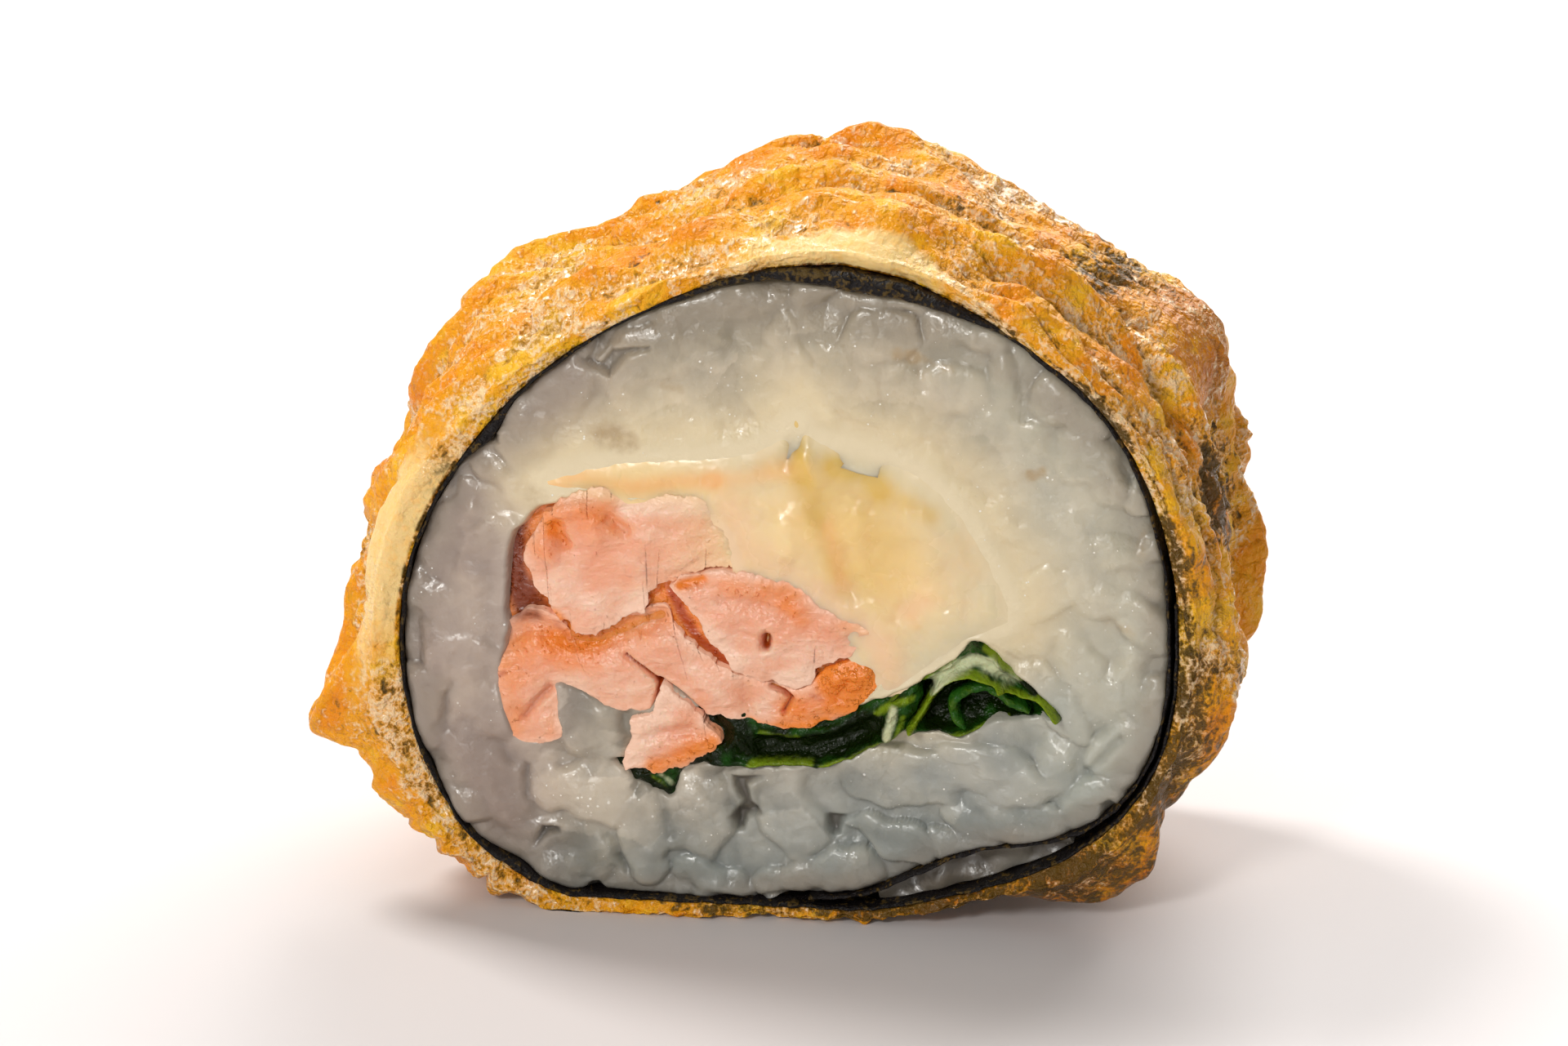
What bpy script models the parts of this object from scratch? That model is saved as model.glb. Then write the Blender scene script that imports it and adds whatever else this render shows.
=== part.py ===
"""A slice of a fried sushi roll, standing on its flattened underside with the cut face towards -Y.

Metres, +Z up. The batter crust, the seaweed sheet, the rice and each filling are separate solids
that run through the slice from the front cut to the back cut. Sizes below are in millimetres in a
plane across the roll, where x is to the right and z is up from the roll's axis.
"""

import bmesh
import bpy
import numpy as np

MM = 0.001

# The slice: a 210 mm roll cut in eight, and the oval that the 190 mm side of a sheet winds into.
# The radii stand at even angles from the right-hand side, and the belly is pressed flat
SLICE = 26.0
RADII = (24.6, 24.9, 24.9, 24.5, 24.3, 23.5, 23.6, 24.6, 26.0, 26.6, 25.6, 21.2, 19.4, 20.1, 22.3, 24.6)
BELLY = 19.2

# Clearance between neighbours, and the seaweed's thickness
GAP = 0.3
SEAWEED = 0.5

# The seaweed's path in turns from the right-hand side, with the slack where its inner end overlaps
SHEET_START = -0.23
SHEET_END = 0.02
EASE_OUT = 0.12
SLACK_MIDDLE = -0.155
SLACK_SPREAD = 0.045
SLACK = 2.1
SHEET_STEPS = 104
LEAD_IN = 0.02
# How far its cut edges stand proud of the slice: on average, the wave's height and the waves
SHEET_PROUD = 0.35
SHEET_WAVE = 0.25
SHEET_WAVES = 6.0

# The crust: thickness at even turns from the right-hand side, what is left of it under the belly
# where the slice stands, and how it eases from the crown's full relief to the plain belly
CRUST = (1.5, 1.7, 1.6, 1.7, 1.7, 2.6, 2.6, 2.0, 1.5, 0.8, 0.8, 1.1)
CROWN_TURN = 0.25
PLAIN_BELOW = 0.06
FULL_ABOVE = 0.35
FOOT = 0.6
CRUST_STEPS = 108
CRUST_ROWS = 13
# Its rims: how far they are rounded along the roll, the thickness left there, and the share of the
# length over which the wall thins towards them
RIM_ROUND = 0.35
RIM_SHARE = 0.4
RIM_THINNING = 0.35
RIM_REACH = 0.12
# Where it has lifted from the seaweed: its turn, how far the rim stands back, and the clearance
LIFTED_TURN = 0.235
LIFTED_BACK = 0.7
LIFTED_CLEAR = 0.25
LIFTED_SPREAD = 0.055
# How far each rim stands in from its cut, and its waves: height, waves round the roll, phase
FRONT_INSET = 0.4
FRONT_WAVES = ((0.3, 5.0, 0.2), (0.15, 11.0, 0.0))
BACK_INSET = 0.5
BACK_WAVES = ((0.35, 4.0, 0.7), (0.15, 9.0, 0.0))
# The ridges that run round the roll: place along it, height, half width, phase of the wander and
# of the swell
RIDGES = (
    (-10.4, 0.8, 1.4, 0.10, 0.35),
    (-5.0, 1.3, 1.8, 0.42, 0.05),
    (1.0, 0.9, 1.7, 0.77, 0.60),
    (7.0, 1.1, 2.0, 0.23, 0.20),
    (11.6, 0.8, 1.3, 0.55, 0.85),
)
WANDER = 1.5
# Turn, along the roll, height, spread round the roll, spread along it, droop
BULGES = (
    (0.548, -9.6, 4.6, 2.2, 3.4, 0.4),
    (0.585, -9.8, 1.6, 3.0, 4.0, 0.2),
    (0.098, 4.0, 4.2, 4.2, 4.6, 0.25),
    (0.170, 10.0, -1.2, 6.0, 6.0, 0.0),
    (0.250, 6.0, -0.8, 6.0, 8.0, 0.0),
    (0.345, 6.0, -1.2, 6.0, 8.0, 0.0),
    (0.417, 3.0, 1.9, 5.5, 8.0, 0.0),
    (0.985, -8.6, 2.2, 4.5, 3.2, 0.1),
    (0.889, -9.0, 2.8, 4.2, 4.0, 0.1),
)
# Small swellings: how many, where they may lie in turns and in shares of the slice, their height,
# their spread along the roll, and how much longer they are round it
LUMPS = 26
LUMP_SEED = 11
LUMP_TURNS = (-0.18, 0.68)
LUMP_SHARES = (-0.44, 0.44)
LUMP_HEIGHTS = (0.4, 1.1)
LUMP_SPREADS = (1.5, 2.9)
LUMP_LENGTHENING = 1.5

# The rice: how far the core's cuts lie behind the slice's, and a cooked grain
CORE_RECESS = 1.0
GRAIN_LENGTH = 7.8
GRAIN_WIDTH = 3.1
GRAIN_SIDES = 6
GRAIN_RINGS = 4
GRAIN_SPACING = 3.5
GRAIN_ROW = 0.87
GRAIN_STRAY = 0.22
GRAIN_TRIES = (1.0, 0.75, 0.5)
GRAIN_TURNS = (0.0, 0.6, -0.6, 1.2)
GRAIN_SUNK = (0.25, 0.7)
GRAIN_MARGIN = 0.15
GRAIN_SEED = 5
RICE_STEPS = 84

# The rice caught in the sheet's overlap: its reach in spreads of the slack, its steps and its inset
TRAPPED_REACH = 0.8
TRAPPED_STEPS = 12
TRAPPED_INSET = 0.4

# The fillings, nearest the viewer first where two would meet. Each is a slab round a spine and
# stands proud of the cut, or behind it, by its own amount. A spine gives x, z and half thickness
FILLINGS = {
    "salmon_right": (
        0.35,
        ((-7.3, 2.2, 0.8), (-4.6, 0.7, 2.9), (-0.8, -0.2, 3.2), (2.6, -0.7, 1.9), (5.0, -1.3, 0.6)),
    ),
    "salmon_upper": (
        0.5,
        (
            (-16.9, 4.9, 1.5),
            (-14.2, 4.6, 4.1),
            (-10.4, 4.7, 3.5),
            (-6.6, 6.5, 3.0),
            (-3.6, 7.3, 2.2),
            (-1.8, 7.1, 0.9),
        ),
    ),
    "salmon_lower": (
        0.0,
        (
            (-17.3, -7.0, 0.9),
            (-17.3, -3.8, 1.4),
            (-14.4, -2.0, 1.9),
            (-10.6, -2.3, 2.5),
            (-7.2, -3.1, 2.2),
            (-4.0, -4.8, 1.8),
            (-0.6, -5.5, 1.4),
            (2.6, -4.6, 1.5),
            (4.8, -3.6, 1.0),
        ),
    ),
    "salmon_flake": (0.6, ((-10.8, -8.2, 0.5), (-8.5, -7.2, 1.6), (-6.0, -7.1, 0.6))),
    "cream_cheese": (
        -0.1,
        (
            (-15.2, 10.4, 0.5),
            (-10.8, 9.9, 0.9),
            (-6.4, 10.5, 1.3),
            (-2.6, 8.9, 3.6),
            (1.6, 6.2, 5.2),
            (5.2, 3.6, 4.9),
            (8.8, 2.4, 3.2),
            (12.4, 0.8, 1.2),
        ),
    ),
    "leaf_strip": (
        -0.2,
        (
            (-11.2, -9.9, 0.3),
            (-8.4, -9.8, 0.4),
            (-5.0, -8.6, 0.9),
            (-1.2, -8.2, 1.0),
            (2.6, -7.5, 1.0),
            (5.2, -6.4, 0.7),
        ),
    ),
    "leaf_fold": (
        -0.2,
        (
            (7.4, -6.6, 0.35),
            (8.3, -3.9, 0.4),
            (10.2, -2.2, 0.4),
            (11.7, -1.0, 0.4),
            (13.4, -2.8, 0.4),
            (16.4, -5.1, 0.45),
            (13.2, -5.9, 0.4),
            (10.4, -6.8, 0.4),
        ),
    ),
    "leaf_curl": (-0.5, ((13.9, -4.5, 0.35), (12.0, -3.4, 0.4), (10.3, -4.2, 0.45), (10.6, -5.4, 0.35))),
}
FOLD = "leaf_fold"
SPINE_STEPS = 3
# A slab's cut: shares of the half thickness from side to side, how far each lies behind the middle,
# the thickness past which that grows no more, and how far the slab tips from end to end
SLAB_ACROSS = (-1.0, -0.55, 0.0, 0.55, 1.0)
SLAB_DROP = (0.55, 0.1, 0.0, 0.15, 0.5)
SLAB_DROP_LIMIT = 1.2
SLAB_TILT = 0.35
SLAB_FAN = 5
THINNEST = 0.25

# How far a cutter runs past both cuts
CUTTER_REACH = 4.0

COLOURS = {
    "batter_crust": ((0.80, 0.38, 0.08), 0.42),
    "nori_sheet": ((0.012, 0.013, 0.010), 0.50),
    "rice": ((0.74, 0.72, 0.65), 0.35),
    "salmon": ((0.87, 0.44, 0.28), 0.38),
    "cream_cheese": ((0.86, 0.73, 0.42), 0.30),
    "leaf": ((0.02, 0.07, 0.012), 0.40),
}


def even_series(values, turn):
    """The smooth closed curve through values that stand at even turns, at these turns."""
    parts = np.fft.rfft(values) / len(values)
    waves = np.exp(2j * np.pi * np.outer(np.mod(turn, 1.0), np.arange(len(parts))))
    weights = np.where(np.arange(len(parts)) % (len(values) // 2) == 0, 1.0, 2.0)
    return np.real(waves @ (parts * weights))


class Outline:
    """The seaweed's outer line: a lopsided oval with its belly pressed flat."""

    SAMPLES = 2880

    def __init__(self):
        angle = np.linspace(0.0, 2.0 * np.pi, self.SAMPLES + 1)
        radius = even_series(RADII, angle / (2.0 * np.pi))
        x = radius * np.cos(angle)
        z = np.maximum(radius * np.sin(angle), -BELLY)
        self.points = np.column_stack([x, z])
        steps = np.linalg.norm(np.diff(self.points, axis=0), axis=1)
        along = np.concatenate([[0.0], np.cumsum(steps)])
        self.length = along[-1]
        self.turns = along / self.length

    def at(self, turn):
        """Points at these turns, counted anticlockwise from the right-hand side."""
        wrapped = np.mod(turn, 1.0)
        return np.column_stack([np.interp(wrapped, self.turns, self.points[:, i]) for i in (0, 1)])

    def outward(self, turn):
        """Unit normals at these turns, smoothed over a short stretch."""
        reach = 0.006
        tangent = self.at(turn + reach) - self.at(turn - reach)
        tangent /= np.linalg.norm(tangent, axis=1)[:, None]
        return np.column_stack([tangent[:, 1], -tangent[:, 0]])

    def moved(self, turn, outwards):
        """Points moved out along the normals, by one distance or one for each."""
        return self.at(turn) + self.outward(turn) * np.reshape(outwards, (-1, 1))


OUTLINE = Outline()


def smooth_step(low, high, value):
    """0 below low, 1 above high, and an even ease between."""
    share = np.clip((value - low) / (high - low), 0.0, 1.0)
    return share * share * (3.0 - 2.0 * share)


def bell(value, middle, spread):
    """A bell of height 1 round the middle."""
    return np.exp(-(((value - middle) / spread) ** 2))


def turn_gap(turn, middle):
    """The shortest way round the roll from middle, in turns."""
    return np.mod(turn - middle + 0.5, 1.0) - 0.5


def crown_share(turn):
    """1 at the top of the roll and 0 at its belly."""
    return 0.5 + 0.5 * np.cos(2.0 * np.pi * (turn - CROWN_TURN))


def sheet_depth(turn):
    """How far the seaweed lies inside the outline, at a turn counted on past the first."""
    under = SEAWEED + GAP + SLACK * bell(turn, SLACK_MIDDLE, SLACK_SPREAD)
    covered = 1.0 - smooth_step(SHEET_END, SHEET_END + EASE_OUT, turn)
    return np.where(turn < 0.5, under * covered, 0.0)


def rice_depth(turn):
    """How far the rice lies inside the outline: behind the innermost layer of seaweed."""
    wrapped = np.mod(turn, 1.0)
    start = SHEET_START + 1.0
    second = smooth_step(start - LEAD_IN, start - 0.3 * LEAD_IN, wrapped)
    under = np.where(wrapped > 0.5, second * sheet_depth(wrapped - 1.0), sheet_depth(wrapped))
    return under + SEAWEED + GAP


def lumps():
    """Small round swellings of the batter, drawn once from a seeded generator."""
    draw = np.random.default_rng(LUMP_SEED)
    turn = draw.uniform(*LUMP_TURNS, LUMPS)
    along = draw.uniform(*LUMP_SHARES, LUMPS) * SLICE
    height = draw.uniform(*LUMP_HEIGHTS, LUMPS)
    spread = draw.uniform(*LUMP_SPREADS, LUMPS)
    return np.column_stack([turn, along, height, spread])


def crust_relief(turn, along):
    """Thickness of the crust and its droop, from the ridges, the lumps and the named bulges."""
    thickness = even_series(CRUST, turn)
    fade = smooth_step(PLAIN_BELOW, FULL_ABOVE, crown_share(turn))
    for middle, height, spread, wander, swell in RIDGES:
        path = middle + WANDER * np.sin(2.0 * np.pi * (turn + wander))
        path = path + 0.5 * WANDER * np.sin(2.0 * np.pi * (3.0 * turn + swell))
        share = 0.6 + 0.4 * np.sin(2.0 * np.pi * (2.0 * turn + swell))
        thickness = thickness + fade * height * share * bell(along, path, spread)
    for middle, place, height, spread in lumps():
        round_it = bell(turn_gap(turn, middle) * OUTLINE.length, 0.0, LUMP_LENGTHENING * spread)
        thickness = thickness + fade * height * round_it * bell(along, place, spread)
    droop = 0.0 * turn
    for middle, place, height, wide, deep, fall in BULGES:
        bulge = height * bell(turn_gap(turn, middle) * OUTLINE.length, 0.0, wide) * bell(along, place, deep)
        thickness = thickness + bulge
        droop = droop + fall * bulge
    return thickness, droop


def waves_round(turn, waves):
    """A sum of sines round the roll, from the height, count and phase of each."""
    return sum(height * np.sin(2.0 * np.pi * (count * turn + phase)) for height, count, phase in waves)


def lifted_share(turn):
    """1 where the crust has lifted from the seaweed and 0 away from there."""
    return bell(turn_gap(turn, LIFTED_TURN), 0.0, LIFTED_SPREAD)


def front_recess(turn):
    """How far the crust's front edge stands back from the cut, most at the crown."""
    return FRONT_INSET + LIFTED_BACK * lifted_share(turn) + waves_round(turn, FRONT_WAVES)


def back_recess(turn):
    """How far the crust's back edge stands in from the back cut."""
    return BACK_INSET + waves_round(turn, BACK_WAVES)


def crust_lift(turn):
    """The crust's clearance from the seaweed, a little more where it has lifted at the crown."""
    return GAP + LIFTED_CLEAR * lifted_share(turn)


def rim_line(turn, along):
    """The middle of a rim, part way up the wall's thickness there."""
    thickness, _ = crust_relief(turn, along)
    return OUTLINE.moved(turn, crust_lift(turn) + RIM_SHARE * thickness)


def material(name):
    """The node's own plain finish."""
    key = next(k for k in COLOURS if name.startswith(k))
    colour, roughness = COLOURS[key]
    made = bpy.data.materials.new(name)
    made.use_nodes = True
    shader = made.node_tree.nodes["Principled BSDF"]
    shader.inputs["Base Color"].default_value = (*colour, 1.0)
    shader.inputs["Roughness"].default_value = roughness
    shader.inputs["Metallic"].default_value = 0.0
    made.diffuse_color = (*colour, 1.0)
    return made


def add_object(name, points, faces, finish=None):
    """A mesh object from points in millimetres, with its normals facing out."""
    mesh = bpy.data.meshes.new(name)
    mesh.from_pydata((np.asarray(points) * MM).tolist(), [], [list(map(int, face)) for face in faces])
    shape = bmesh.new()
    shape.from_mesh(mesh)
    bmesh.ops.recalc_face_normals(shape, faces=shape.faces)
    shape.to_mesh(mesh)
    shape.free()
    mesh.shade_smooth()
    made = bpy.data.objects.new(name, mesh)
    bpy.context.scene.collection.objects.link(made)
    if finish:
        made.data.materials.append(material(finish))
    return made


def grid_faces(rows, columns, closed_rows, closed_columns):
    """Quads of a grid of points numbered row by row, joined round where a way is closed."""
    row = np.arange(rows if closed_rows else rows - 1)
    column = np.arange(columns if closed_columns else columns - 1)
    first, second = np.meshgrid(row, column, indexing="ij")
    next_row, next_column = (first + 1) % rows, (second + 1) % columns
    corners = (
        first * columns + second,
        next_row * columns + second,
        next_row * columns + next_column,
        first * columns + next_column,
    )
    return np.stack(corners, axis=-1).reshape(-1, 4)


def build_crust():
    """The batter shell: a tube whose wall follows the seaweed inside and is ridged outside."""
    turn = np.arange(CRUST_STEPS) / CRUST_STEPS
    front = -0.5 * SLICE + front_recess(turn)
    back = 0.5 * SLICE - back_recess(turn)
    loops = []
    for share in np.linspace(0.0, 1.0, CRUST_ROWS):
        along = front + RIM_ROUND + (back - front - 2.0 * RIM_ROUND) * share
        thickness, droop = crust_relief(turn, along)
        edge = 1.0 - RIM_THINNING * (1.0 - smooth_step(0.0, RIM_REACH, min(share, 1.0 - share)))
        outer = OUTLINE.moved(turn, crust_lift(turn) + thickness * edge)
        outer[:, 1] -= droop
        loops.append((outer, along))
    inner = OUTLINE.moved(turn, crust_lift(turn))
    loops.append((rim_line(turn, back), back))
    loops.append((inner, back - RIM_ROUND))
    loops.append((inner, 0.5 * (front + back)))
    loops.append((inner, front + RIM_ROUND))
    loops.append((rim_line(turn, front), front))
    floor = -BELLY - GAP - FOOT
    points = np.concatenate(
        [np.column_stack([plane[:, 0], along, np.maximum(plane[:, 1], floor)]) for plane, along in loops]
    )
    faces = grid_faces(len(loops), CRUST_STEPS, True, True)
    return add_object("batter_crust", points, faces, "batter_crust")


def build_seaweed():
    """The sheet: one turn round the rice and on under its own outer end."""
    turn = np.linspace(SHEET_START, 1.0 + SHEET_END, SHEET_STEPS)
    depth = sheet_depth(turn)
    proud = SHEET_PROUD + SHEET_WAVE * np.sin(2.0 * np.pi * SHEET_WAVES * turn)
    front = -0.5 * SLICE - proud
    back = 0.5 * SLICE + 0.5 * proud
    outer = OUTLINE.moved(turn, -depth)
    inner = OUTLINE.moved(turn, -depth - SEAWEED)
    corners = ((outer, front), (inner, front), (inner, back), (outer, back))
    points = np.concatenate([np.column_stack([plane[:, 0], along, plane[:, 1]]) for plane, along in corners])
    faces = grid_faces(len(corners), SHEET_STEPS, True, False).tolist()
    ends = SHEET_STEPS * np.arange(len(corners))
    faces += [list(ends), list(ends + SHEET_STEPS - 1)]
    return add_object("nori_sheet", points, faces, "nori_sheet")


def spine_curve(spine, count):
    """Points, unit normals and half thicknesses along a smooth curve through the spine's own points."""
    knots = np.asarray(spine, float)
    padded = np.vstack([2.0 * knots[0] - knots[1], knots, 2.0 * knots[-1] - knots[-2]])
    place = np.linspace(0.0, len(knots) - 1.0, count)
    cell = np.minimum(place.astype(int), len(knots) - 2)
    t = (place - cell)[:, None]
    p0, p1, p2, p3 = (padded[cell + i] for i in range(4))
    bend = 2.0 * p0 - 5.0 * p1 + 4.0 * p2 - p3
    twist = 3.0 * p1 - p0 - 3.0 * p2 + p3
    curve = p1 + 0.5 * ((p2 - p0) * t + bend * t**2 + twist * t**3)
    tangent = np.gradient(curve[:, :2], axis=0)
    tangent /= np.linalg.norm(tangent, axis=1)[:, None]
    normal = np.column_stack([-tangent[:, 1], tangent[:, 0]])
    return curve[:, :2], normal, np.maximum(curve[:, 2], THINNEST)


def slab_outline(spine, grow=0.0):
    """The closed line round a slab, with rounded ends, grown by a clearance."""
    count = SPINE_STEPS * len(spine)
    middle, normal, half = spine_curve(spine, count)
    half = half + grow
    tangent = np.column_stack([normal[:, 1], -normal[:, 0]])
    fan = np.linspace(0.0, np.pi, SLAB_FAN)[1:-1, None]
    start = middle[0] + half[0] * (-np.cos(fan) * normal[0] - np.sin(fan) * tangent[0])
    end = middle[-1] + half[-1] * (np.cos(fan) * normal[-1] + np.sin(fan) * tangent[-1])
    upper = middle + normal * half[:, None]
    lower = middle - normal * half[:, None]
    return np.vstack([upper, end, lower[::-1], start])


def prism(name, outline, front, back, finish=None):
    """A solid from a closed line in the plane, from front to back along the roll."""
    count = len(outline)
    ends = [np.column_stack([outline[:, 0], np.full(count, along), outline[:, 1]]) for along in (front, back)]
    points = np.concatenate(ends)
    faces = grid_faces(len(ends), count, False, True).tolist()
    faces += [list(range(count)), list(range(count, 2 * count))]
    return add_object(name, points, faces, finish)


def slab(name, spine, proud, finish):
    """A filling: its cuts are crowned, and it stands a little proud of the slice or behind it."""
    count = SPINE_STEPS * len(spine)
    middle, normal, half = spine_curve(spine, count)
    tilt = SLAB_TILT * np.sin(np.linspace(0.0, 2.0 * np.pi, count))
    loops = []
    for side, order in ((-1.0, 1), (1.0, -1)):
        for place, drop in list(zip(SLAB_ACROSS, SLAB_DROP))[::order]:
            plane = middle + normal * (half * place)[:, None]
            along = side * (0.5 * SLICE + proud + tilt - drop * np.minimum(half, SLAB_DROP_LIMIT))
            loops.append(np.column_stack([plane[:, 0], along, plane[:, 1]]))
    points = np.concatenate(loops)
    faces = grid_faces(len(loops), count, True, False).tolist()
    ends = count * np.arange(len(loops))
    faces += [list(ends), list(ends + count - 1)]
    return add_object(name, points, faces, finish)


def use_boolean(target, operation, others, solver="EXACT"):
    """Joins the others to the target or cuts them from it, applies that and removes them."""
    group = bpy.data.collections.new("tools")
    for other in others:
        bpy.context.scene.collection.objects.unlink(other)
        group.objects.link(other)
    bpy.context.scene.collection.children.link(group)
    step = target.modifiers.new(operation.lower(), "BOOLEAN")
    step.operation = operation
    step.operand_type = "COLLECTION"
    step.collection = group
    step.solver = solver
    graph = bpy.context.evaluated_depsgraph_get()
    made = bpy.data.meshes.new_from_object(target.evaluated_get(graph))
    target.modifiers.clear()
    target.data = made
    for other in others:
        bpy.data.objects.remove(other)
    bpy.data.collections.remove(group)


def drop_scraps(target):
    """Keeps the largest connected body of a mesh and drops the loose scraps that cutting left."""
    shape = bmesh.new()
    shape.from_mesh(target.data)
    waiting = set(shape.verts)
    bodies = []
    while waiting:
        body = {waiting.pop()}
        front = set(body)
        while front:
            front = {edge.other_vert(vertex) for vertex in front for edge in vertex.link_edges} - body
            body |= front
        waiting -= body
        bodies.append(body)
    bodies.sort(key=len)
    bmesh.ops.delete(shape, geom=[vertex for body in bodies[:-1] for vertex in body], context="VERTS")
    shape.to_mesh(target.data)
    shape.free()


def clearance(line):
    """A cutter through the whole slice, on a line already grown by the gap."""
    reach = 0.5 * SLICE + CUTTER_REACH
    return prism("clearance", line, -reach, reach)


def build_fillings():
    """The salmon flakes, melted cheese and leaves, each cut clear of those before it."""
    before = []
    for name, (proud, spine) in FILLINGS.items():
        filling = slab(name, spine, proud, name)
        if before:
            use_boolean(filling, "DIFFERENCE", [clearance(slab_outline(other, GAP)) for other in before])
            drop_scraps(filling)
        before.append(spine)


def filling_outlines(grow):
    """The lines that keep the rice clear of the fillings, with the folded leaf's inside as one more."""
    spines = {name: spine for name, (_, spine) in FILLINGS.items()}
    lines = [slab_outline(spine, grow) for spine in spines.values()]
    lines.append(np.asarray(spines[FOLD])[1:, :2])
    return lines


def inside(points, line):
    """Which points lie inside a closed line, by counting crossings."""
    x, z = points[:, 0][:, None], points[:, 1][:, None]
    x1, z1 = line[:, 0][None], line[:, 1][None]
    x2, z2 = np.roll(line[:, 0], -1)[None], np.roll(line[:, 1], -1)[None]
    spans = (z1 > z) != (z2 > z)
    level = np.where(z2 == z1, 1.0, z2 - z1)
    crossing = (x2 - x1) * (z - z1) / level + x1
    return np.count_nonzero(spans & (x < crossing), axis=1) % 2 == 1


def grain_places(draw, border, lines):
    """Where grains lie on one cut: place, heading and length, the longest that stays on the rice."""
    spacing = GRAIN_SPACING
    reach = max(RADII)
    rows = np.arange(-reach, reach, GRAIN_ROW * spacing)
    ring = np.linspace(0.0, 2.0 * np.pi, 16, endpoint=False)
    found = []
    for index, level in enumerate(rows):
        for across in np.arange(-reach, reach, spacing) + 0.5 * spacing * (index % 2):
            place = np.array([across, level]) + draw.uniform(-GRAIN_STRAY, GRAIN_STRAY, 2) * spacing
            headings = draw.uniform(0.0, np.pi) + np.array(GRAIN_TURNS)
            for length in GRAIN_LENGTH * np.array(GRAIN_TRIES):
                fits = []
                for heading in headings:
                    axis = np.array([np.cos(heading), np.sin(heading)])
                    side = np.array([-axis[1], axis[0]])
                    rim = place + 0.5 * length * np.cos(ring)[:, None] * axis
                    rim = rim + 0.5 * GRAIN_WIDTH * np.sin(ring)[:, None] * side
                    if inside(rim, border).all() and not any(inside(rim, line).any() for line in lines):
                        fits.append(heading)
                if fits:
                    found.append((place, fits[0], length))
                    break
    return found


def grain(place, heading, length, along, facing):
    """One grain as a low ball stretched along its heading, its middle just under the core's face."""
    shape = bmesh.new()
    bmesh.ops.create_uvsphere(shape, u_segments=GRAIN_SIDES, v_segments=GRAIN_RINGS, radius=0.5)
    ball = np.array([vertex.co for vertex in shape.verts])
    faces = [[vertex.index for vertex in face.verts] for face in shape.faces]
    shape.free()
    axis = np.array([np.cos(heading), 0.0, np.sin(heading)])
    side = np.array([-np.sin(heading), 0.0, np.cos(heading)])
    out = np.array([0.0, facing, 0.0])
    middle = np.array([place[0], along, place[1]])
    points = middle + np.outer(ball[:, 2] * length, axis)
    points = points + GRAIN_WIDTH * (np.outer(ball[:, 0], side) + np.outer(ball[:, 1], out))
    return add_object("grain", points, faces)


def build_rice():
    """The rice: a core round the fillings, with the grains that show fused on both cuts."""
    turn = np.linspace(0.0, 1.0, RICE_STEPS, endpoint=False)
    border = OUTLINE.moved(turn, -rice_depth(turn))
    face = 0.5 * SLICE - CORE_RECESS
    rice = prism("rice", border, -face, face, "rice")
    use_boolean(rice, "DIFFERENCE", [clearance(line) for line in filling_outlines(GAP)])
    drop_scraps(rice)
    draw = np.random.default_rng(GRAIN_SEED)
    edge = OUTLINE.moved(turn, -rice_depth(turn) - GRAIN_MARGIN)
    lines = filling_outlines(GAP + GRAIN_MARGIN)
    grains = []
    for facing in (-1.0, 1.0):
        for place, heading, length in grain_places(draw, edge, lines):
            sunk = draw.uniform(*GRAIN_SUNK)
            grains.append(grain(place, heading, length, facing * (face - sunk), facing))
    use_boolean(rice, "UNION", grains, "MANIFOLD")
    return rice


def build_trapped_rice():
    """The rice caught between the two layers of seaweed where the sheet's inner end is slack."""
    reach = TRAPPED_REACH * SLACK_SPREAD
    turn = np.linspace(SLACK_MIDDLE - reach, SLACK_MIDDLE + reach, TRAPPED_STEPS)
    outer = OUTLINE.moved(turn, -(SEAWEED + GAP))
    inner = OUTLINE.moved(turn, -(sheet_depth(turn) - GAP))
    face = 0.5 * SLICE - TRAPPED_INSET
    return prism("rice_in_overlap", np.vstack([outer, inner[::-1]]), -face, face, "rice")


def set_on_origin():
    """Moves every solid so that the origin is below the middle of the whole, on its flat underside."""
    meshes = [made.data for made in bpy.context.scene.objects]
    corners = np.array([vertex.co for mesh in meshes for vertex in mesh.vertices])
    low, high = corners.min(axis=0), corners.max(axis=0)
    shift = np.array([0.5 * (low[0] + high[0]), 0.5 * (low[1] + high[1]), low[2]])
    for mesh in meshes:
        for vertex in mesh.vertices:
            vertex.co = vertex.co - type(vertex.co)(shift)


def main():
    for old in list(bpy.data.objects):
        bpy.data.objects.remove(old)
    build_crust()
    build_seaweed()
    build_fillings()
    build_rice()
    build_trapped_rice()
    set_on_origin()


if __name__ == "__main__":
    main()
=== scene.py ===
"""A slice of a batter-fried sushi roll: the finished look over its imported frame.

Every surface is worked out with numpy in millimetres, in a plane across the roll: x to the right
and z up from the roll's axis, with y along the roll from the front cut to the back cut.
"""

import logging
import math
from dataclasses import dataclass, field
from enum import Enum
from typing import Callable, Iterable, Sequence, Union

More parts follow.
